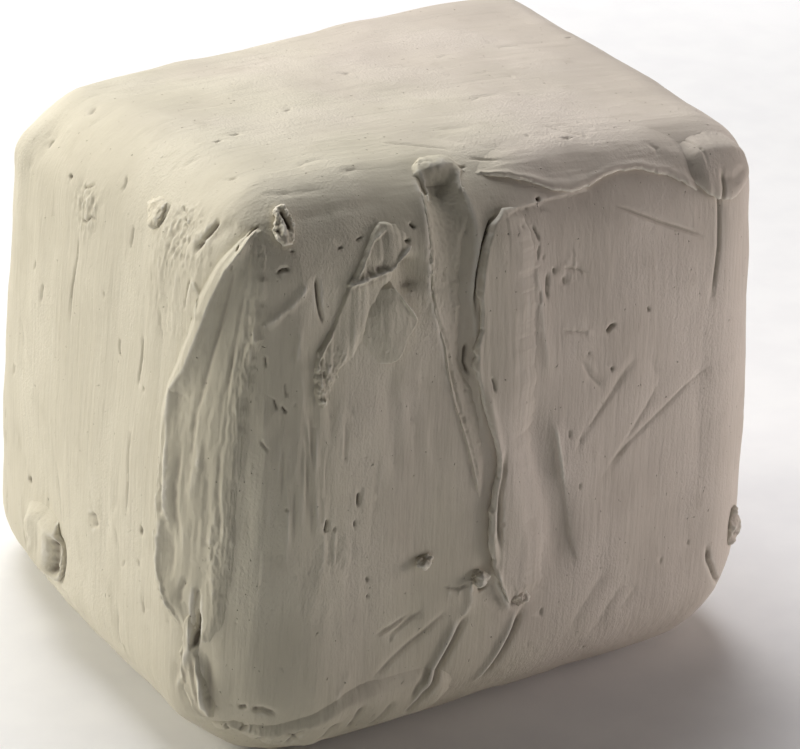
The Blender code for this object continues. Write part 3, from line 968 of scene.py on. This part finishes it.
# %% Toe wedge
def dress_toe(thickness, across, up, share):
    """Strands down the wedge, and crumbs along its head."""
    for path, width, depth in (
        ([(-133, 62), (-133, 46), (-130, 24)], 0.8, 0.5),
        ([(-130, 60), (-130, 44), (-127, 26)], 0.8, -0.4),
    ):
        valley(thickness, across, up, path, width, depth)
    thickness += 0.22 * layers(np.stack([across, up], axis=1), (1.8, 9.0), 312, 2)


toe_wedge = scrap("toe_wedge_clay", [(60, -131, -128), (56, -133.5, -127.5), (50, -135, -126.4),
                                     (43, -135.5, -125),
                  (36, -134.5, -122), (29, -132, -119.5), (22, -129.5, -119.5), (17, -127, -121.5)],
                  1.5, ((SOFT, 2.2), (SOFT, 2.4)), ((TORN, 1.5), (SOFT, 7.0)), step=0.35,
                  ragged=(0.4, 0.4), seed=12, dress=dress_toe)
stand_for(toe_wedge, "toe_wedge")

# %% [markdown]
# ## The torn stub above the smear
#
# Where the smear began, a stub of clay tore away and left a slot. It is the tallest scrap for its
# size, with the roughest edge.

# %% Torn nub
def dress_nub(thickness, across, up, share):
    """A slot down the middle, deepest in its upper half, and coarse crumbs."""
    valley(thickness, across, up, [(-91, 193), (-89.6, 187), (-88.4, 182)], 0.8, 2.6, 0.25)
    valley(thickness, across, up, [(-94, 184), (-92, 179)], 0.8, 1.0)
    thickness += 0.9 * layers(np.stack([across, up], axis=1), (2.6, 3.4), 322, 3)


torn_nub = scrap("torn_nub_clay", [(196, -91.5, -90), (193, -93.5, -88), (188, -94.5, -86.5),
                                   (183, -95.5, -86), (179.5, -94.5, -86.5),
                 (177, -92, -88)], 2.4, ((TORN, 2.0), (TORN, 1.6)), ((TORN, 2.0), (TORN, 2.0)),
                 step=0.25, ragged=(0.9, 0.8), tuck=0.9, seed=13, dress=dress_nub)
stand_for(torn_nub, "torn_nub")

# %% [markdown]
# ## The flakes on the front
#
# A broad flake was pressed on high on the front and slid down, rolling crumbs ahead of its left
# side. A looser tab hangs below it, with a smooth hollow between the two.

# %% Upper flake
def dress_upper(thickness, across, up, share):
    """A thin lip on the left, crumbs towards the foot, and a thick crumbly ridge across the middle."""
    spot = np.stack([across, up], axis=1)
    shown = np.clip(thickness + 0.5, 0, 1)
    foot = np.clip((146 - up) / 9, 0, 1) * np.clip(1.5 - share, 0, 1)
    thickness += shown * foot * 0.6 * np.clip(layers(spot, (1.0, 1.3), 331, 2, 0.8), -0.3, 1)
    crest(thickness, across, up, [(-41.5, 171.5), (-46, 169), (-50.5, 165.5), (-60, 164),
                                  (-70, 162.5)], 1.7, 1.8, 1.6, 0.1)
    ridge = np.exp(-(((up - 164.5 - (across + 60) * 0.12) / 2.4) ** 2))
    thickness += shown * ridge * 0.28 * layers(spot, 1.2, 333, 2, 0.8)
    crest(thickness, across, up, [(-51, 178), (-57.5, 174.5), (-62, 168), (-66, 163)], 0.8, 1.0, 1.6,
          0.15)
    crest(thickness, across, up, [(-73, 150), (-76, 146), (-79, 141), (-79.4, 133)], 0.7, 1.0, 1.4, 0.15)
    valley(thickness, across, up, [(-60.5, 143.5), (-60, 139)], 0.7, 1.4)
    thickness += 0.18 * grain(spot, (1.2, 16), 332) + 0.2 * grain(spot, (5, 9), 334)


upper_flake = scrap("upper_flake_clay", [(180.5, -54.5, -50), (178.5, -56.5, -44.5), (175, -59, -41),
    (172, -61, -41), (168, -64, -42.5),
                    (164, -67, -46), (160, -69.5, -49), (156, -71.5, -52), (152, -73, -54.5),
                    (148, -76.5, -57), (144, -79.5, -61),
                    (138, -80.5, -66), (132, -80, -70), (128, -78.5, -72.5), (125, -77, -74.5)],
                    1.1, ((SOFT, 1.6), (SOFT, 8.0)), ((TORN, 1.2), (TORN, 1.4)), step=0.35,
                    ragged=(0.5, 0.8), tuck=0.4, seed=14, dress=dress_upper)
stand_for(upper_flake, "upper_flake")


# %% Lower flake
def dress_lower(thickness, across, up, share):
    """A raised crisp rim on the right, with fine creases towards the left."""
    crest(thickness, across, up, [(-51.5, 161.5), (-47.6, 156), (-42.4, 149.6)], 0.9, 1.6, 1.2, 0.15)
    thickness += 0.16 * layers(np.stack([across, up], axis=1), (2.4, 6.0), 342, 3)


lower_flake = scrap("lower_flake_clay", [(162.5, -58, -51.8), (159.5, -62, -50), (156, -65, -47.4),
    (152.5, -67, -43.6),
                    (149.5, -67.5, -41.4), (147, -66.5, -43.2), (144, -64.5, -45.6),
                    (141, -62.5, -47.2), (138.4, -60.4, -48.6),
                    (136.6, -58, -51.5)],
                    2.7, ((SOFT, 14.0), (TORN, 1.0)), ((SOFT, 3.0), (TORN, 1.0)), step=0.25,
                    ragged=(0.4, 0.4), tuck=1.0, seed=15, dress=dress_lower)
stand_for(lower_flake, "lower_flake")

# %% [markdown]
# ## The thumb's ribbon
#
# The thumb pulled a thin ribbon of slip down its channel. At the head the ribbon curls up round the
# nail into a horseshoe lip, and a small dark hole stays open under it.

# %% Thumb ribbon
RIBBON_SIDE = [(-33.5, 147), (-30.6, 139), (-29.4, 130), (-27.5, 122), (-23.5, 112), (-21, 105),
               (-18.4, 96), (-16.4, 88)]


def dress_ribbon(thickness, across, up, share):
    """The hood at the head, a hole on its left and a notch on its right, crumbs, and fine ripples."""
    spot = np.stack([across, up], axis=1)
    dent(thickness, spot, (-24.5, 201.5), (7.2, 4.8), -2.0)
    valley(thickness, across, up, [(-35.2, 201), (-33.8, 196), (-32.4, 189)], 1.1, 4.4, 0.25)
    crest(thickness, across, up, [(-32.4, 197), (-31.4, 191), (-33.4, 184)], 0.8, 1.2, 1.4, 0.2)
    valley(thickness, across, up, [(-15.4, 199), (-17.6, 195), (-18.6, 189)], 0.9, 2.4, 0.25)
    crest(thickness, across, up, RIBBON_SIDE, 1.1, 1.3, 1.6, 0.1)
    crest(thickness, across, up, [(-14.6, 200), (-17.6, 194.5), (-18.6, 188)], 0.9, 1.1, 1.1, 0.25)
    edge = np.exp(-(share / 0.12) ** 2) * np.clip((174 - up) / 6, 0, 1) * np.clip((up - 148) / 6, 0, 1)
    thickness += 0.6 * edge * np.clip(layers(spot, (0.9, 1.2), 351, 2, 0.8), -0.3, 1)
    thickness += 0.12 * grain(spot, (1.6, 40), 352) + 0.12 * layers(spot, (0.8, 1.0), 353, 1)


thumb_ribbon = scrap("thumb_ribbon_clay",
                     [(209, -28.5, -22), (207, -32, -18), (204, -34.8, -15.6), (199, -35.8, -14.6),
                      (194, -35.8, -15.8),
                     (188, -36.5, -17.5), (180, -37, -17.5), (175, -37, -18.5), (168, -37, -20.5),
                     (160, -37, -22), (150, -35.5, -22), (140, -31.5, -23), (132, -30, -23),
                     (127, -28.5, -20), (124, -28, -18), (114, -24.5, -15.5), (106, -22, -14.5),
                     (96, -19.5, -13.5),
                     (88, -18, -14), (80, -16.8, -14.6)],
                     1.1, ((SOFT, 2.6), (SOFT, 4.0)), ((SOFT, 4.0), (SOFT, 12.0)), step=0.35,
                     ragged=(0.25, 0.4), seed=16, dress=dress_ribbon)
stand_for(thumb_ribbon, "thumb_ribbon")

# %% [markdown]
# ## The slab right of the channel
#
# A thin slab stands proud to the right of the channel. Its left side tore off straight and shows the
# slab's full thickness; lower down, that side turns into a soft ridge. Its right side sinks away.

# %% Right slab
def dress_slab(thickness, across, up, share):
    """The ridge down the lower left, the wide valley on the lower right, and two cracked seams."""
    valley(thickness, across, up, [(-16, 126), (-12.5, 112), (-9.8, 102), (-9.6, 94), (-12, 83),
                                   (-12, 74), (-10, 65)], 1.6, -0.9, 0.12)
    valley(thickness, across, up, [(-4, 120), (-1, 100), (3, 80), (7, 62)], 4.0, 1.0, 0.3)
    valley(thickness, across, up, [(1.5, 176), (4.5, 170), (6, 162)], 0.7, 0.7)
    spot = np.stack([across, up], axis=1)
    thickness += 0.13 * grain(spot, (3.0, 40), 361) + 0.09 * grain(spot, (1.1, 22), 362)


right_slab = scrap("right_slab_clay", [(178.5, -5.5, 2), (177, -8.5, 5), (175, -11, 7),
                                       (171, -13.5, 9), (167, -15.6, 10), (162, -17.2, 10.5),
                   (156, -18.2, 10.5), (151, -18, 10), (147.5, -17.4, 9.5), (143, -17.8, 9),
                   (138, -19.2, 8.5), (132, -20.4, 8.5), (128.6, -18.6, 8.5), (122, -17.6, 8.5),
                   (112, -13.8, 9), (103, -10.8, 9.5), (96, -10.2, 10), (90, -11.6, 11),
                   (82, -13, 12.5), (74, -13.4, 14), (66, -11.6, 15), (58, -8.4, 15), (51, -4.6, 13),
                   (46, 0, 10)],
                   2.2, ((TORN, 1.1), (SOFT, 14.0)), ((TORN, 1.4), (SOFT, 9.0)), step=0.42,
                   ragged=(0.45, 1.0), tuck=1.3, seed=17, dress=dress_slab)
stand_for(right_slab, "right_slab")

# %% [markdown]
# ## The skin lapped over the front edge
#
# The top's skin was pushed forward until it hung over the front edge as a lip with a soft scalloped
# front. Behind, it runs into the top without a mark. At the right corner it rolled into a wad.

# %% Top skin
def dress_skin(thickness, across, up, share):
    """A rolled bead just behind the lip, shallow scallops, and drags that run back over the top."""
    thickness += 0.35 * np.exp(-(((share - 0.08) / 0.06) ** 2)) * np.clip(thickness + 0.5, 0, 1)
    spot = np.stack([across, up], axis=1)
    thickness += np.clip(thickness / 1.2, 0, 1) * (0.22 * grain(spot, (14, 9), 371)
                                                   + 0.07 * grain(spot, (9, 1.4), 372))


top_skin = scrap("top_skin_clay", [(-17, 198.5, 203), (-10, 195.5, 208), (-2, 192, 212),
                                   (6, 188, 215), (11, 184.6, 216), (15, 182.2, 217),
                 (23, 180.4, 217), (31, 181.6, 217), (37, 184.2, 217), (43, 186.4, 217),
                 (50, 186.4, 217), (56, 184.6, 216),
                 (62, 182.2, 215), (67, 179.8, 212), (72, 176, 208), (76, 173.6, 204), (79, 173, 198)],
                 1.5, ((TORN, 1.8), (SOFT, 20.0)), ((SOFT, 12.0), (SOFT, 8.0)), level=True, step=0.45,
                 ragged=(0.6, 0.4), tuck=0.8, seed=18, dress=dress_skin)
stand_for(top_skin, "top_skin")


# %% Corner roll
def dress_roll(thickness, across, up, share):
    """One deep crease up its left end and soft folds along the roll."""
    valley(thickness, across, up, [(74, 204), (78.5, 196), (80.5, 187), (80, 179)], 0.5, 0.35, 0.4)
    valley(thickness, across, up, [(82, 178), (90, 176), (99, 180)], 2.0, 0.6, 0.3)
    thickness += 0.35 * grain(np.stack([across, up], axis=1), (9, 7), 381)


corner_roll = scrap("corner_roll_clay", [(70, 183, 197), (74, 177.5, 201), (79, 172.8, 203),
    (84, 170, 204), (89, 169.6, 204),
                    (95, 171.5, 204), (101, 175, 202), (105, 179, 199), (108, 184, 195)],
                    3.4, ((TORN, 5.0), (SOFT, 16.0)), ((SOFT, 10.0), (SOFT, 8.0)), level=True,
                    step=0.4, ragged=(0.3, 0.5), tuck=0.9, seed=19, dress=dress_roll)
stand_for(corner_roll, "corner_roll")

# %% [markdown]
# ## Low scraps: nub, hem, pad and pellet
#
# Low on the right edge a stub sticks out. Along the front's foot the clay is folded under into a
# hem. Low on the left a rounded pad bulges beyond a notch, and near the top of the left face a flat
# pellet is stuck.

# %% Right nub
def dress_right_nub(thickness, across, up, share):
    """Coarse lumps."""
    thickness += 0.8 * layers(np.stack([across, up], axis=1), (4, 3), 391, 3)


right_nub = scrap("right_nub_clay", [(54, 100, 106), (51, 97.5, 109), (47, 96.5, 110), (43, 97, 109),
                                     (40, 99, 106)],
                  2.0, ((TORN, 3.0), (SOFT, 4.0)), ((TORN, 2.5), (TORN, 2.0)), step=0.3,
                  ragged=(0.6, 0.6), seed=20, dress=dress_right_nub)
stand_for(right_nub, "right_nub")


# %% Base hem
HEM_FOLDS = [
    ([(-106, 14), (-101, 20)], 1.0, 1.2), ([(-97, 10), (-92, 18)], 1.2, 1.2),
    ([(-84, 13), (-80, 22), (-77, 25)], 0.9, 1.0),
    ([(-84, 22), (-79, 17)], 0.8, 0.8), ([(-70, 12), (-66, 24)], 1.3, 1.0),
    ([(-60, 14), (-58, 30)], 1.1, 0.9),
    ([(-52, 12), (-46, 28)], 1.5, 1.0), ([(-112, 12), (-116, 16)], 1.0, 0.9),
    ([(-40, 16), (-34, 30)], 1.4, 1.1),
]


def dress_hem(thickness, across, up, share):
    """Folds across the hem and a crumbly upper side."""
    for path, width, depth in HEM_FOLDS:
        valley(thickness, across, up, path, width, depth)
    spot = np.stack([across, up], axis=1)
    thickness += 0.5 * layers(spot, (15, 6), 401, 2) * np.clip(thickness + 0.5, 0, 1)


base_hem = scrap("base_hem_clay", [(-127, 12, 19), (-121, 8, 18), (-114, 6, 18), (-106, 5, 20),
                                   (-98, 5, 22), (-90, 5, 25), (-82, 5, 28),
                 (-74, 5, 31), (-66, 5, 35), (-58, 5, 37), (-50, 6, 37.5), (-42, 8, 37),
                 (-34, 10, 36), (-26, 13, 33), (-20, 17, 29)],
                 2.2, ((SOFT, 7.0), (SOFT, 6.0)), ((SOFT, 6.0), (SOFT, 10.0)), level=True, step=0.45,
                 ragged=(0.15, 0.2), seed=21, dress=dress_hem)
stand_for(base_hem, "base_hem")


# %% Heel pad
def dress_heel(thickness, across, up, share):
    """Rounded over its whole width, with a dimple and a crease."""
    valley(thickness, across, up, [(-234, 36), (-226, 33)], 2.4, 0.8, 0.3)
    thickness += 0.5 * grain(np.stack([across, up], axis=1), (6, 6), 411)


heel_pad = scrap("heel_pad_clay", [(50, -227, -219), (47.5, -232, -214.5), (43, -236, -212),
                                   (38, -238, -210.5), (33, -238, -210),
                 (28, -235, -211), (24.5, -230, -214), (22, -225, -218)],
                 4.6, ((SOFT, 9.0), (TORN, 6.0)), ((SOFT, 7.0), (SOFT, 7.0)), step=0.4,
                 ragged=(0.4, 0.4), tuck=0.8, seed=22, dress=dress_heel)
stand_for(heel_pad, "heel_pad")


# %% Left pellet
def dress_pellet(thickness, across, up, share):
    """A flat dome with coarse lumps."""
    thickness += 0.5 * layers(np.stack([across, up], axis=1), (3, 3), 421, 3)


left_pellet = scrap("left_pellet_clay", [(183, -166.6, -164), (181, -170, -161.6),
    (178, -171.8, -160.4), (174.5, -172, -160.2),
                    (172, -170.4, -161), (170, -167.6, -163)],
                    1.5, ((SOFT, 4.5), (TORN, 3.0)), ((SOFT, 4.0), (TORN, 2.4)), step=0.25,
                    ragged=(0.3, 0.3), tuck=0.9, seed=23, dress=dress_pellet)
stand_for(left_pellet, "left_pellet")

# %% [markdown]
# ## Crumbs
#
# Three pale crumbs stuck low on the front. A crumb is a ball whose radius follows noise, flattened
# onto the skin.

# %% Crumbs
def crumb(name, across, up, radius, seed, rings=40, spokes=72):
    """A ball in three directions: radius times (1 + noise), flattened outward, sunk by a third."""
    tilt = np.pi * (np.arange(1, rings) / rings)
    turn = 2 * np.pi * np.arange(spokes) / spokes
    tilt, turn = (a.ravel() for a in np.meshgrid(tilt, turn, indexing="ij"))
    ball = np.stack([np.sin(tilt) * np.cos(turn), np.sin(tilt) * np.sin(turn), np.cos(tilt)], axis=1)
    ball = np.concatenate([[[0, 0, 1]], ball, [[0, 0, -1]]])
    size = radius * (1 + 0.45 * layers(ball * 10, (9, 9, 9), seed, 4, 0.55))
    spot = fold(np.array([across]), np.array([up]))
    here, out = place(spot)[0], lump(spot)[1][0]
    aside = np.cross([0, 0, 1], out)
    aside /= np.linalg.norm(aside)
    local = ball * size[:, None] * [1.15, 0.9, 0.75]
    points = here + local @ np.stack([aside, np.cross(out, aside), out]) + out * radius * 0.3
    grid = 1 + np.arange((rings - 1) * spokes).reshape(rings - 1, spokes)
    after = np.roll(grid, -1, axis=1)
    last = len(ball) - 1
    quads = np.stack([grid[:-1], grid[1:], after[1:], after[:-1]], axis=-1).reshape(-1, 4)
    caps = np.concatenate([
        np.stack([np.zeros(spokes, int), grid[0], after[0]], axis=1),
        np.stack([np.full(spokes, last), after[-1], grid[-1]], axis=1),
    ])
    totals = np.concatenate([np.full(len(quads), 4), np.full(len(caps), 3)])
    corners = np.concatenate([quads.ravel(), caps.ravel()])
    # Second column: where the crumb bulges or dips, for the painted highlight and painted shade.
    marks = np.stack([0 * size, np.clip(size / radius - 0.75, -0.2, 1)], axis=1)
    return make_piece(name, points, corners, totals, marks)


crumbs = []
for index, (across, up, radius) in enumerate([(-37.5, 71, 2.5), (-16.5, 62, 3.0), (1, 49.5, 2.8)], 1):
    piece = crumb(f"crumb_{index}_clay", across, up, radius, 500 + index)
    stand_for(piece, f"crumb_{index}")
    crumbs.append(piece)
print("crumbs:", len(crumbs))

# %% [markdown]
# ## The clay itself
#
# Damp grog-free stoneware clay is matt, a warm grey cream, and never one colour: dry streaks are
# paler, wet smears are darker and more olive, and fine iron specks and pits show brown. All of that
# is noise on object coordinates, stretched along the drag, so the pattern runs round every edge.
# Over it lies painted light: a painted highlight, paler and a little pinker, where the skin stands
# proud and along torn sides, and painted shade in hollows, near black in cracks. The surface keeps
# a slight damp sheen, so roughness varies too.

# %% Node helpers
def add_node(tree, kind, inputs=None, **settings):
    """One shader node, with its settings, and its inputs given as values or as sockets to link."""
    node = tree.nodes.new(kind)
    for name, value in settings.items():
        setattr(node, name, value)
    for socket, value in (inputs or {}).items():
        if isinstance(value, bpy.types.NodeSocket):
            tree.links.new(value, node.inputs[socket])
        else:
            node.inputs[socket].default_value = value
    return node


def noise(tree, vector, stretch, detail=3.0, turn=(0, 0, 0)):
    """Noise whose blobs measure stretch, in metres along X, Y and Z, after a turn."""
    scale = tuple(1 / side for side in stretch)
    mapping = add_node(tree, "ShaderNodeMapping",
                       {"Vector": vector, "Scale": scale, "Rotation": turn}, vector_type="POINT")
    return add_node(tree, "ShaderNodeTexNoise",
                    {"Vector": mapping.outputs[0], "Scale": 1.0, "Detail": detail}).outputs["Fac"]


def band(tree, value, low, high, bottom=0.0, top=1.0):
    """Carry low..high to bottom..top, held at both ends."""
    inputs = {"Value": value, "From Min": low, "From Max": high, "To Min": bottom, "To Max": top}
    return add_node(tree, "ShaderNodeMapRange", inputs, interpolation_type="SMOOTHSTEP").outputs[0]


def blend(tree, share, first, second, kind="MIX"):
    """Mix two colours by share."""
    node = add_node(tree, "ShaderNodeMix", data_type="RGBA", blend_type=kind)
    for index, value in ((0, share), (6, first), (7, second)):
        if isinstance(value, bpy.types.NodeSocket):
            tree.links.new(value, node.inputs[index])
        elif index:
            node.inputs[index].default_value = (*value, 1)
        else:
            node.inputs[index].default_value = value
    return node.outputs[2]


def mix_number(tree, share, first, second):
    """Mix two numbers by share."""
    node = add_node(tree, "ShaderNodeMix", data_type="FLOAT")
    for index, value in ((0, share), (2, first), (3, second)):
        if isinstance(value, bpy.types.NodeSocket):
            tree.links.new(value, node.inputs[index])
        else:
            node.inputs[index].default_value = value
    return node.outputs[0]


print("node helpers ready")

# %% The clay material
def clay(name, fresh, dry, wet, relief=1.0, gloss=0.0):
    """Three clay colours mixed by noise, with streaks, grain, pits and specks in bump and colour,
    plus a painted highlight on raised rims and painted shade in hollows and cracks.
    """
    material = bpy.data.materials.new(name)
    material.use_nodes = True
    tree = material.node_tree
    shader = tree.nodes["Principled BSDF"]
    spot = add_node(tree, "ShaderNodeTexCoord").outputs["Object"]
    top = add_node(tree, "ShaderNodeAttribute", attribute_name="top").outputs["Fac"]
    # The standing-out attribute is used only for the painted highlight and painted shade below.
    proud = add_node(tree, "ShaderNodeAttribute", attribute_name="proud").outputs["Fac"]
    clouds = noise(tree, spot, (0.045, 0.045, 0.06), 4.0)
    tint = noise(tree, spot, (0.06, 0.06, 0.09), 3.0, (0.4, 0.2, 0.7))
    mottle = noise(tree, spot, (0.009, 0.009, 0.013), 5.0)
    upright = noise(tree, spot, (0.0018, 0.0018, 0.036), 4.0)
    across = noise(tree, spot, (0.030, 0.0024, 0.006), 4.0, (0, 0, 0.31))
    streak = mix_number(tree, top, upright, across)
    grain_up = noise(tree, spot, (0.0008, 0.0008, 0.0030), 4.0)
    grain_flat = noise(tree, spot, (0.0012, 0.0009, 0.0009), 4.0)
    fine = mix_number(tree, top, grain_up, grain_flat)
    pits = band(tree, noise(tree, spot, (0.0014, 0.0014, 0.0018), 1.0), 0.74, 0.82)
    # Olive on the left, mauve on the right, with the noise wandering between the two.
    east = add_node(tree, "ShaderNodeSeparateXYZ", {"Vector": spot}).outputs["X"]
    wander = add_node(tree, "ShaderNodeMath", {0: tint, 1: 0.24, 2: -0.12},
                      operation="MULTIPLY_ADD").outputs[0]
    place_share = add_node(tree, "ShaderNodeMath", {0: east, 1: wander}, operation="ADD").outputs[0]
    cast = blend(tree, band(tree, place_share, -0.085, 0.05), OLIVE, MAUVE)
    colour = blend(tree, band(tree, clouds, 0.38, 0.66), fresh, dry)
    colour = blend(tree, band(tree, streak, 0.52, 0.80, 0.0, 0.5), colour, dry)
    colour = blend(tree, band(tree, streak, 0.46, 0.24, 0.0, 0.45), colour, wet)
    colour = blend(tree, band(tree, mottle, 0.55, 0.80, 0.0, 0.4), colour, wet)
    colour = blend(tree, 1.0, colour, cast, "MULTIPLY")
    # Painted highlight on raised rims and torn sides, and painted shade in hollows.
    colour = blend(tree, band(tree, proud, 0.06, 0.60, 0.0, 0.75), colour, RIM_HIGHLIGHT_PAINT)
    colour = blend(tree, band(tree, proud, -0.05, -0.45, 0.0, 0.55), colour, HOLLOW_SHADE_PAINT)
    colour = blend(tree, band(tree, pits, 0.0, 1.0, 0.0, 0.35), colour, (0.22, 0.17, 0.11))
    # Painted shade, near black, at the bottom of cracks and deep hollows.
    colour = blend(tree, band(tree, proud, -0.40, -0.95, 0.0, 0.8), colour, (0.11, 0.085, 0.06))
    tree.links.new(colour, shader.inputs["Base Color"])
    rough = band(tree, streak, 0.3, 0.7, 0.66 - gloss, 0.90 - gloss)
    tree.links.new(rough, shader.inputs["Roughness"])
    shader.inputs["Specular IOR Level"].default_value = 0.35
    gritty = band(tree, clouds, 0.44, 0.62, 0.1, 1.0)
    grit = noise(tree, spot, (0.0008, 0.0008, 0.0011), 3.0)
    patch_grit = add_node(tree, "ShaderNodeMath", {0: grit, 1: gritty}, operation="MULTIPLY").outputs[0]
    bump = None
    for height, distance in ((streak, 0.00028), (fine, 0.00008), (patch_grit, 0.00028),
                             (mottle, 0.0003), (pits, -0.0004)):
        inputs = {"Height": height, "Distance": abs(distance) * relief, "Strength": 1.0}
        if bump is not None:
            inputs["Normal"] = bump
        bump = add_node(tree, "ShaderNodeBump", inputs, invert=distance < 0).outputs[0]
    tree.links.new(bump, shader.inputs["Normal"])
    return material


# Colours of the painted highlight on raised rims and of the painted shade in hollows.
RIM_HIGHLIGHT_PAINT, HOLLOW_SHADE_PAINT = (0.78, 0.745, 0.65), (0.38, 0.34, 0.27)
OLIVE, MAUVE = (1.0, 0.985, 0.905), (1.0, 0.945, 0.935)
BODY_CLAY = clay("damp_clay", (0.61, 0.575, 0.495), (0.68, 0.645, 0.565), (0.52, 0.485, 0.405))
SMEAR_CLAY = clay("wet_smear_clay", (0.58, 0.548, 0.468), (0.65, 0.616, 0.535), (0.495, 0.463, 0.382),
                  0.8, 0.08)
CRUMB_CLAY = clay("dry_crumb_clay", (0.64, 0.60, 0.51), (0.72, 0.675, 0.58), (0.54, 0.50, 0.41), 1.4)
finishes = {
    BODY_CLAY: [block, toe_wedge, top_skin, corner_roll, right_nub, base_hem, heel_pad],
    SMEAR_CLAY: [corner_smear, upper_flake, lower_flake, thumb_ribbon, right_slab],
    CRUMB_CLAY: [torn_nub, left_pellet, *crumbs],
}
for finish, pieces in finishes.items():
    for piece in pieces:
        piece.data.materials.append(finish)
print("clay nodes:", len(BODY_CLAY.node_tree.nodes))

# %% [markdown]
# ## Floor, light and camera
#
# A pale floor runs out past the view. One large soft light high on the left lights the top and the
# left face alike and leaves the front in shade, where its drag marks read best. A weak light from
# the front right and a pale sky fill the shade.

# %% Floor
def disc(name, radius, rings=3, spokes=96):
    """Points at radius times the ring's share, turned evenly; each ring is joined to the next."""
    angle = np.arange(spokes) * 2 * np.pi / spokes
    share = np.arange(1, rings + 1)[:, None] / rings
    ring_points = np.stack([share * np.cos(angle), share * np.sin(angle), 0 * share * angle], axis=2)
    points = np.concatenate([[[0, 0, 0]], ring_points.reshape(-1, 3)]) * radius / MM
    here = np.arange(spokes)
    after = (here + 1) % spokes
    faces = [np.stack([0 * here, here + 1, after + 1], axis=1)]
    for ring in range(rings - 1):
        inner, outer = 1 + ring * spokes, 1 + (ring + 1) * spokes
        faces.append(np.stack([inner + here, outer + here, outer + after, inner + after], axis=1))
    totals = np.concatenate([np.full(len(face), face.shape[1]) for face in faces])
    return make_piece(name, points, np.concatenate([face.ravel() for face in faces]), totals)


floor = disc("floor", 4.0)
paper = bpy.data.materials.new("floor_paper")
paper.use_nodes = True
paper_tree = paper.node_tree
paper_spot = add_node(paper_tree, "ShaderNodeTexCoord").outputs["Object"]
paper_tone = band(paper_tree, noise(paper_tree, paper_spot, (0.02, 0.02, 0.02)), 0.3, 0.7)
paper_colour = blend(paper_tree, paper_tone, (0.88, 0.88, 0.88), (0.91, 0.91, 0.905))
paper_tree.links.new(paper_colour, paper_tree.nodes["Principled BSDF"].inputs["Base Color"])
paper_tree.nodes["Principled BSDF"].inputs["Roughness"].default_value = 0.9
# Far out the lamps no longer reach the floor, so it glows to the eye there and meets the sky.
paper_reach = add_node(paper_tree, "ShaderNodeVectorMath", {0: paper_spot},
                       operation="LENGTH").outputs["Value"]
paper_far = band(paper_tree, paper_reach, 0.45, 1.3)
seen = add_node(paper_tree, "ShaderNodeLightPath").outputs["Is Camera Ray"]
glow = add_node(paper_tree, "ShaderNodeMath", {0: paper_far, 1: seen}, operation="MULTIPLY").outputs[0]
paper_tree.links.new(glow, paper_tree.nodes["Principled BSDF"].inputs["Emission Strength"])
paper_tree.nodes["Principled BSDF"].inputs["Emission Color"].default_value = (1, 1, 1, 1)
floor.data.materials.append(paper)
print("floor across:", 8.0, "m")

# %% Light
MIDDLE = Vector((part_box("core_block")[0][i] / 2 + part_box("core_block")[1][i] / 2 for i in range(3)))


def soft_light(name, direction, distance, size, power, colour=(1, 1, 1)):
    """A square area light at a direction from the block's middle, facing it."""
    data = bpy.data.lights.new(name, "AREA")
    data.size = size
    data.energy = power
    data.color = colour
    lamp = bpy.data.objects.new(name, data)
    lamp.visible_camera = False
    towards = Vector(direction).normalized()
    lamp.location = MIDDLE + towards * distance
    lamp.rotation_euler = towards.to_track_quat("Z", "Y").to_euler()
    bpy.context.scene.collection.objects.link(lamp)
    return lamp


soft_light("key", (-0.82, 0.58, 0.42), 1.6, 0.8, 17.5, (1.0, 0.965, 0.885))
soft_light("overhead", (0.05, 0.60, 1.0), 1.6, 1.2, 25.0, (0.99, 0.98, 1.0))
soft_light("side_fill", (0.93, -0.50, -0.02), 0.6, 0.3, 1.5, (1.0, 0.90, 0.89))

# The sky looks pale to the eye but gives little light, so the shaded front keeps its depth.
SKY_SEEN, SKY_GIVEN = 1.0, 0.03
sky = bpy.data.worlds.new("pale_sky")
sky.use_nodes = True
sky_tree = sky.node_tree
sky_strength = mix_number(sky_tree, add_node(sky_tree,
    "ShaderNodeLightPath").outputs["Is Camera Ray"], SKY_GIVEN, SKY_SEEN)
sky_tree.links.new(sky_strength, sky_tree.nodes["Background"].inputs["Strength"])
sky_tree.nodes["Background"].inputs["Color"].default_value = (1, 1, 1, 1)
bpy.context.scene.world = sky
bpy.context.scene.view_settings.view_transform = "Standard"

# %% Camera
AZIMUTH, ELEVATION, ROLL = np.radians([-33.1, 26.3, 4.1])
CAMERA_DISTANCE = 1.32
LENS = 182.6
AIM = (np.array([-15.6, -38.5, 110.0]) + STAND) * MM

back = np.array([np.sin(AZIMUTH) * np.cos(ELEVATION), -np.cos(AZIMUTH) * np.cos(ELEVATION),
                 np.sin(ELEVATION)])
level = np.cross([0, 0, 1], back)
level /= np.linalg.norm(level)
upward = np.cross(back, level)
right_hand = level * np.cos(ROLL) + upward * np.sin(ROLL)
head_up = upward * np.cos(ROLL) - level * np.sin(ROLL)
camera = bpy.data.objects.new("camera", bpy.data.cameras.new("camera"))
camera.data.lens = LENS
camera.data.sensor_width = 36.0
camera.data.clip_start = 0.05
placing = np.eye(4)
placing[:3, 0], placing[:3, 1], placing[:3, 2] = right_hand, head_up, back
placing[:3, 3] = AIM + back * CAMERA_DISTANCE
camera.matrix_world = Matrix([list(row) for row in placing])
bpy.context.scene.collection.objects.link(camera)
bpy.context.scene.camera = camera
print("camera at", np.round(placing[:3, 3], 3))
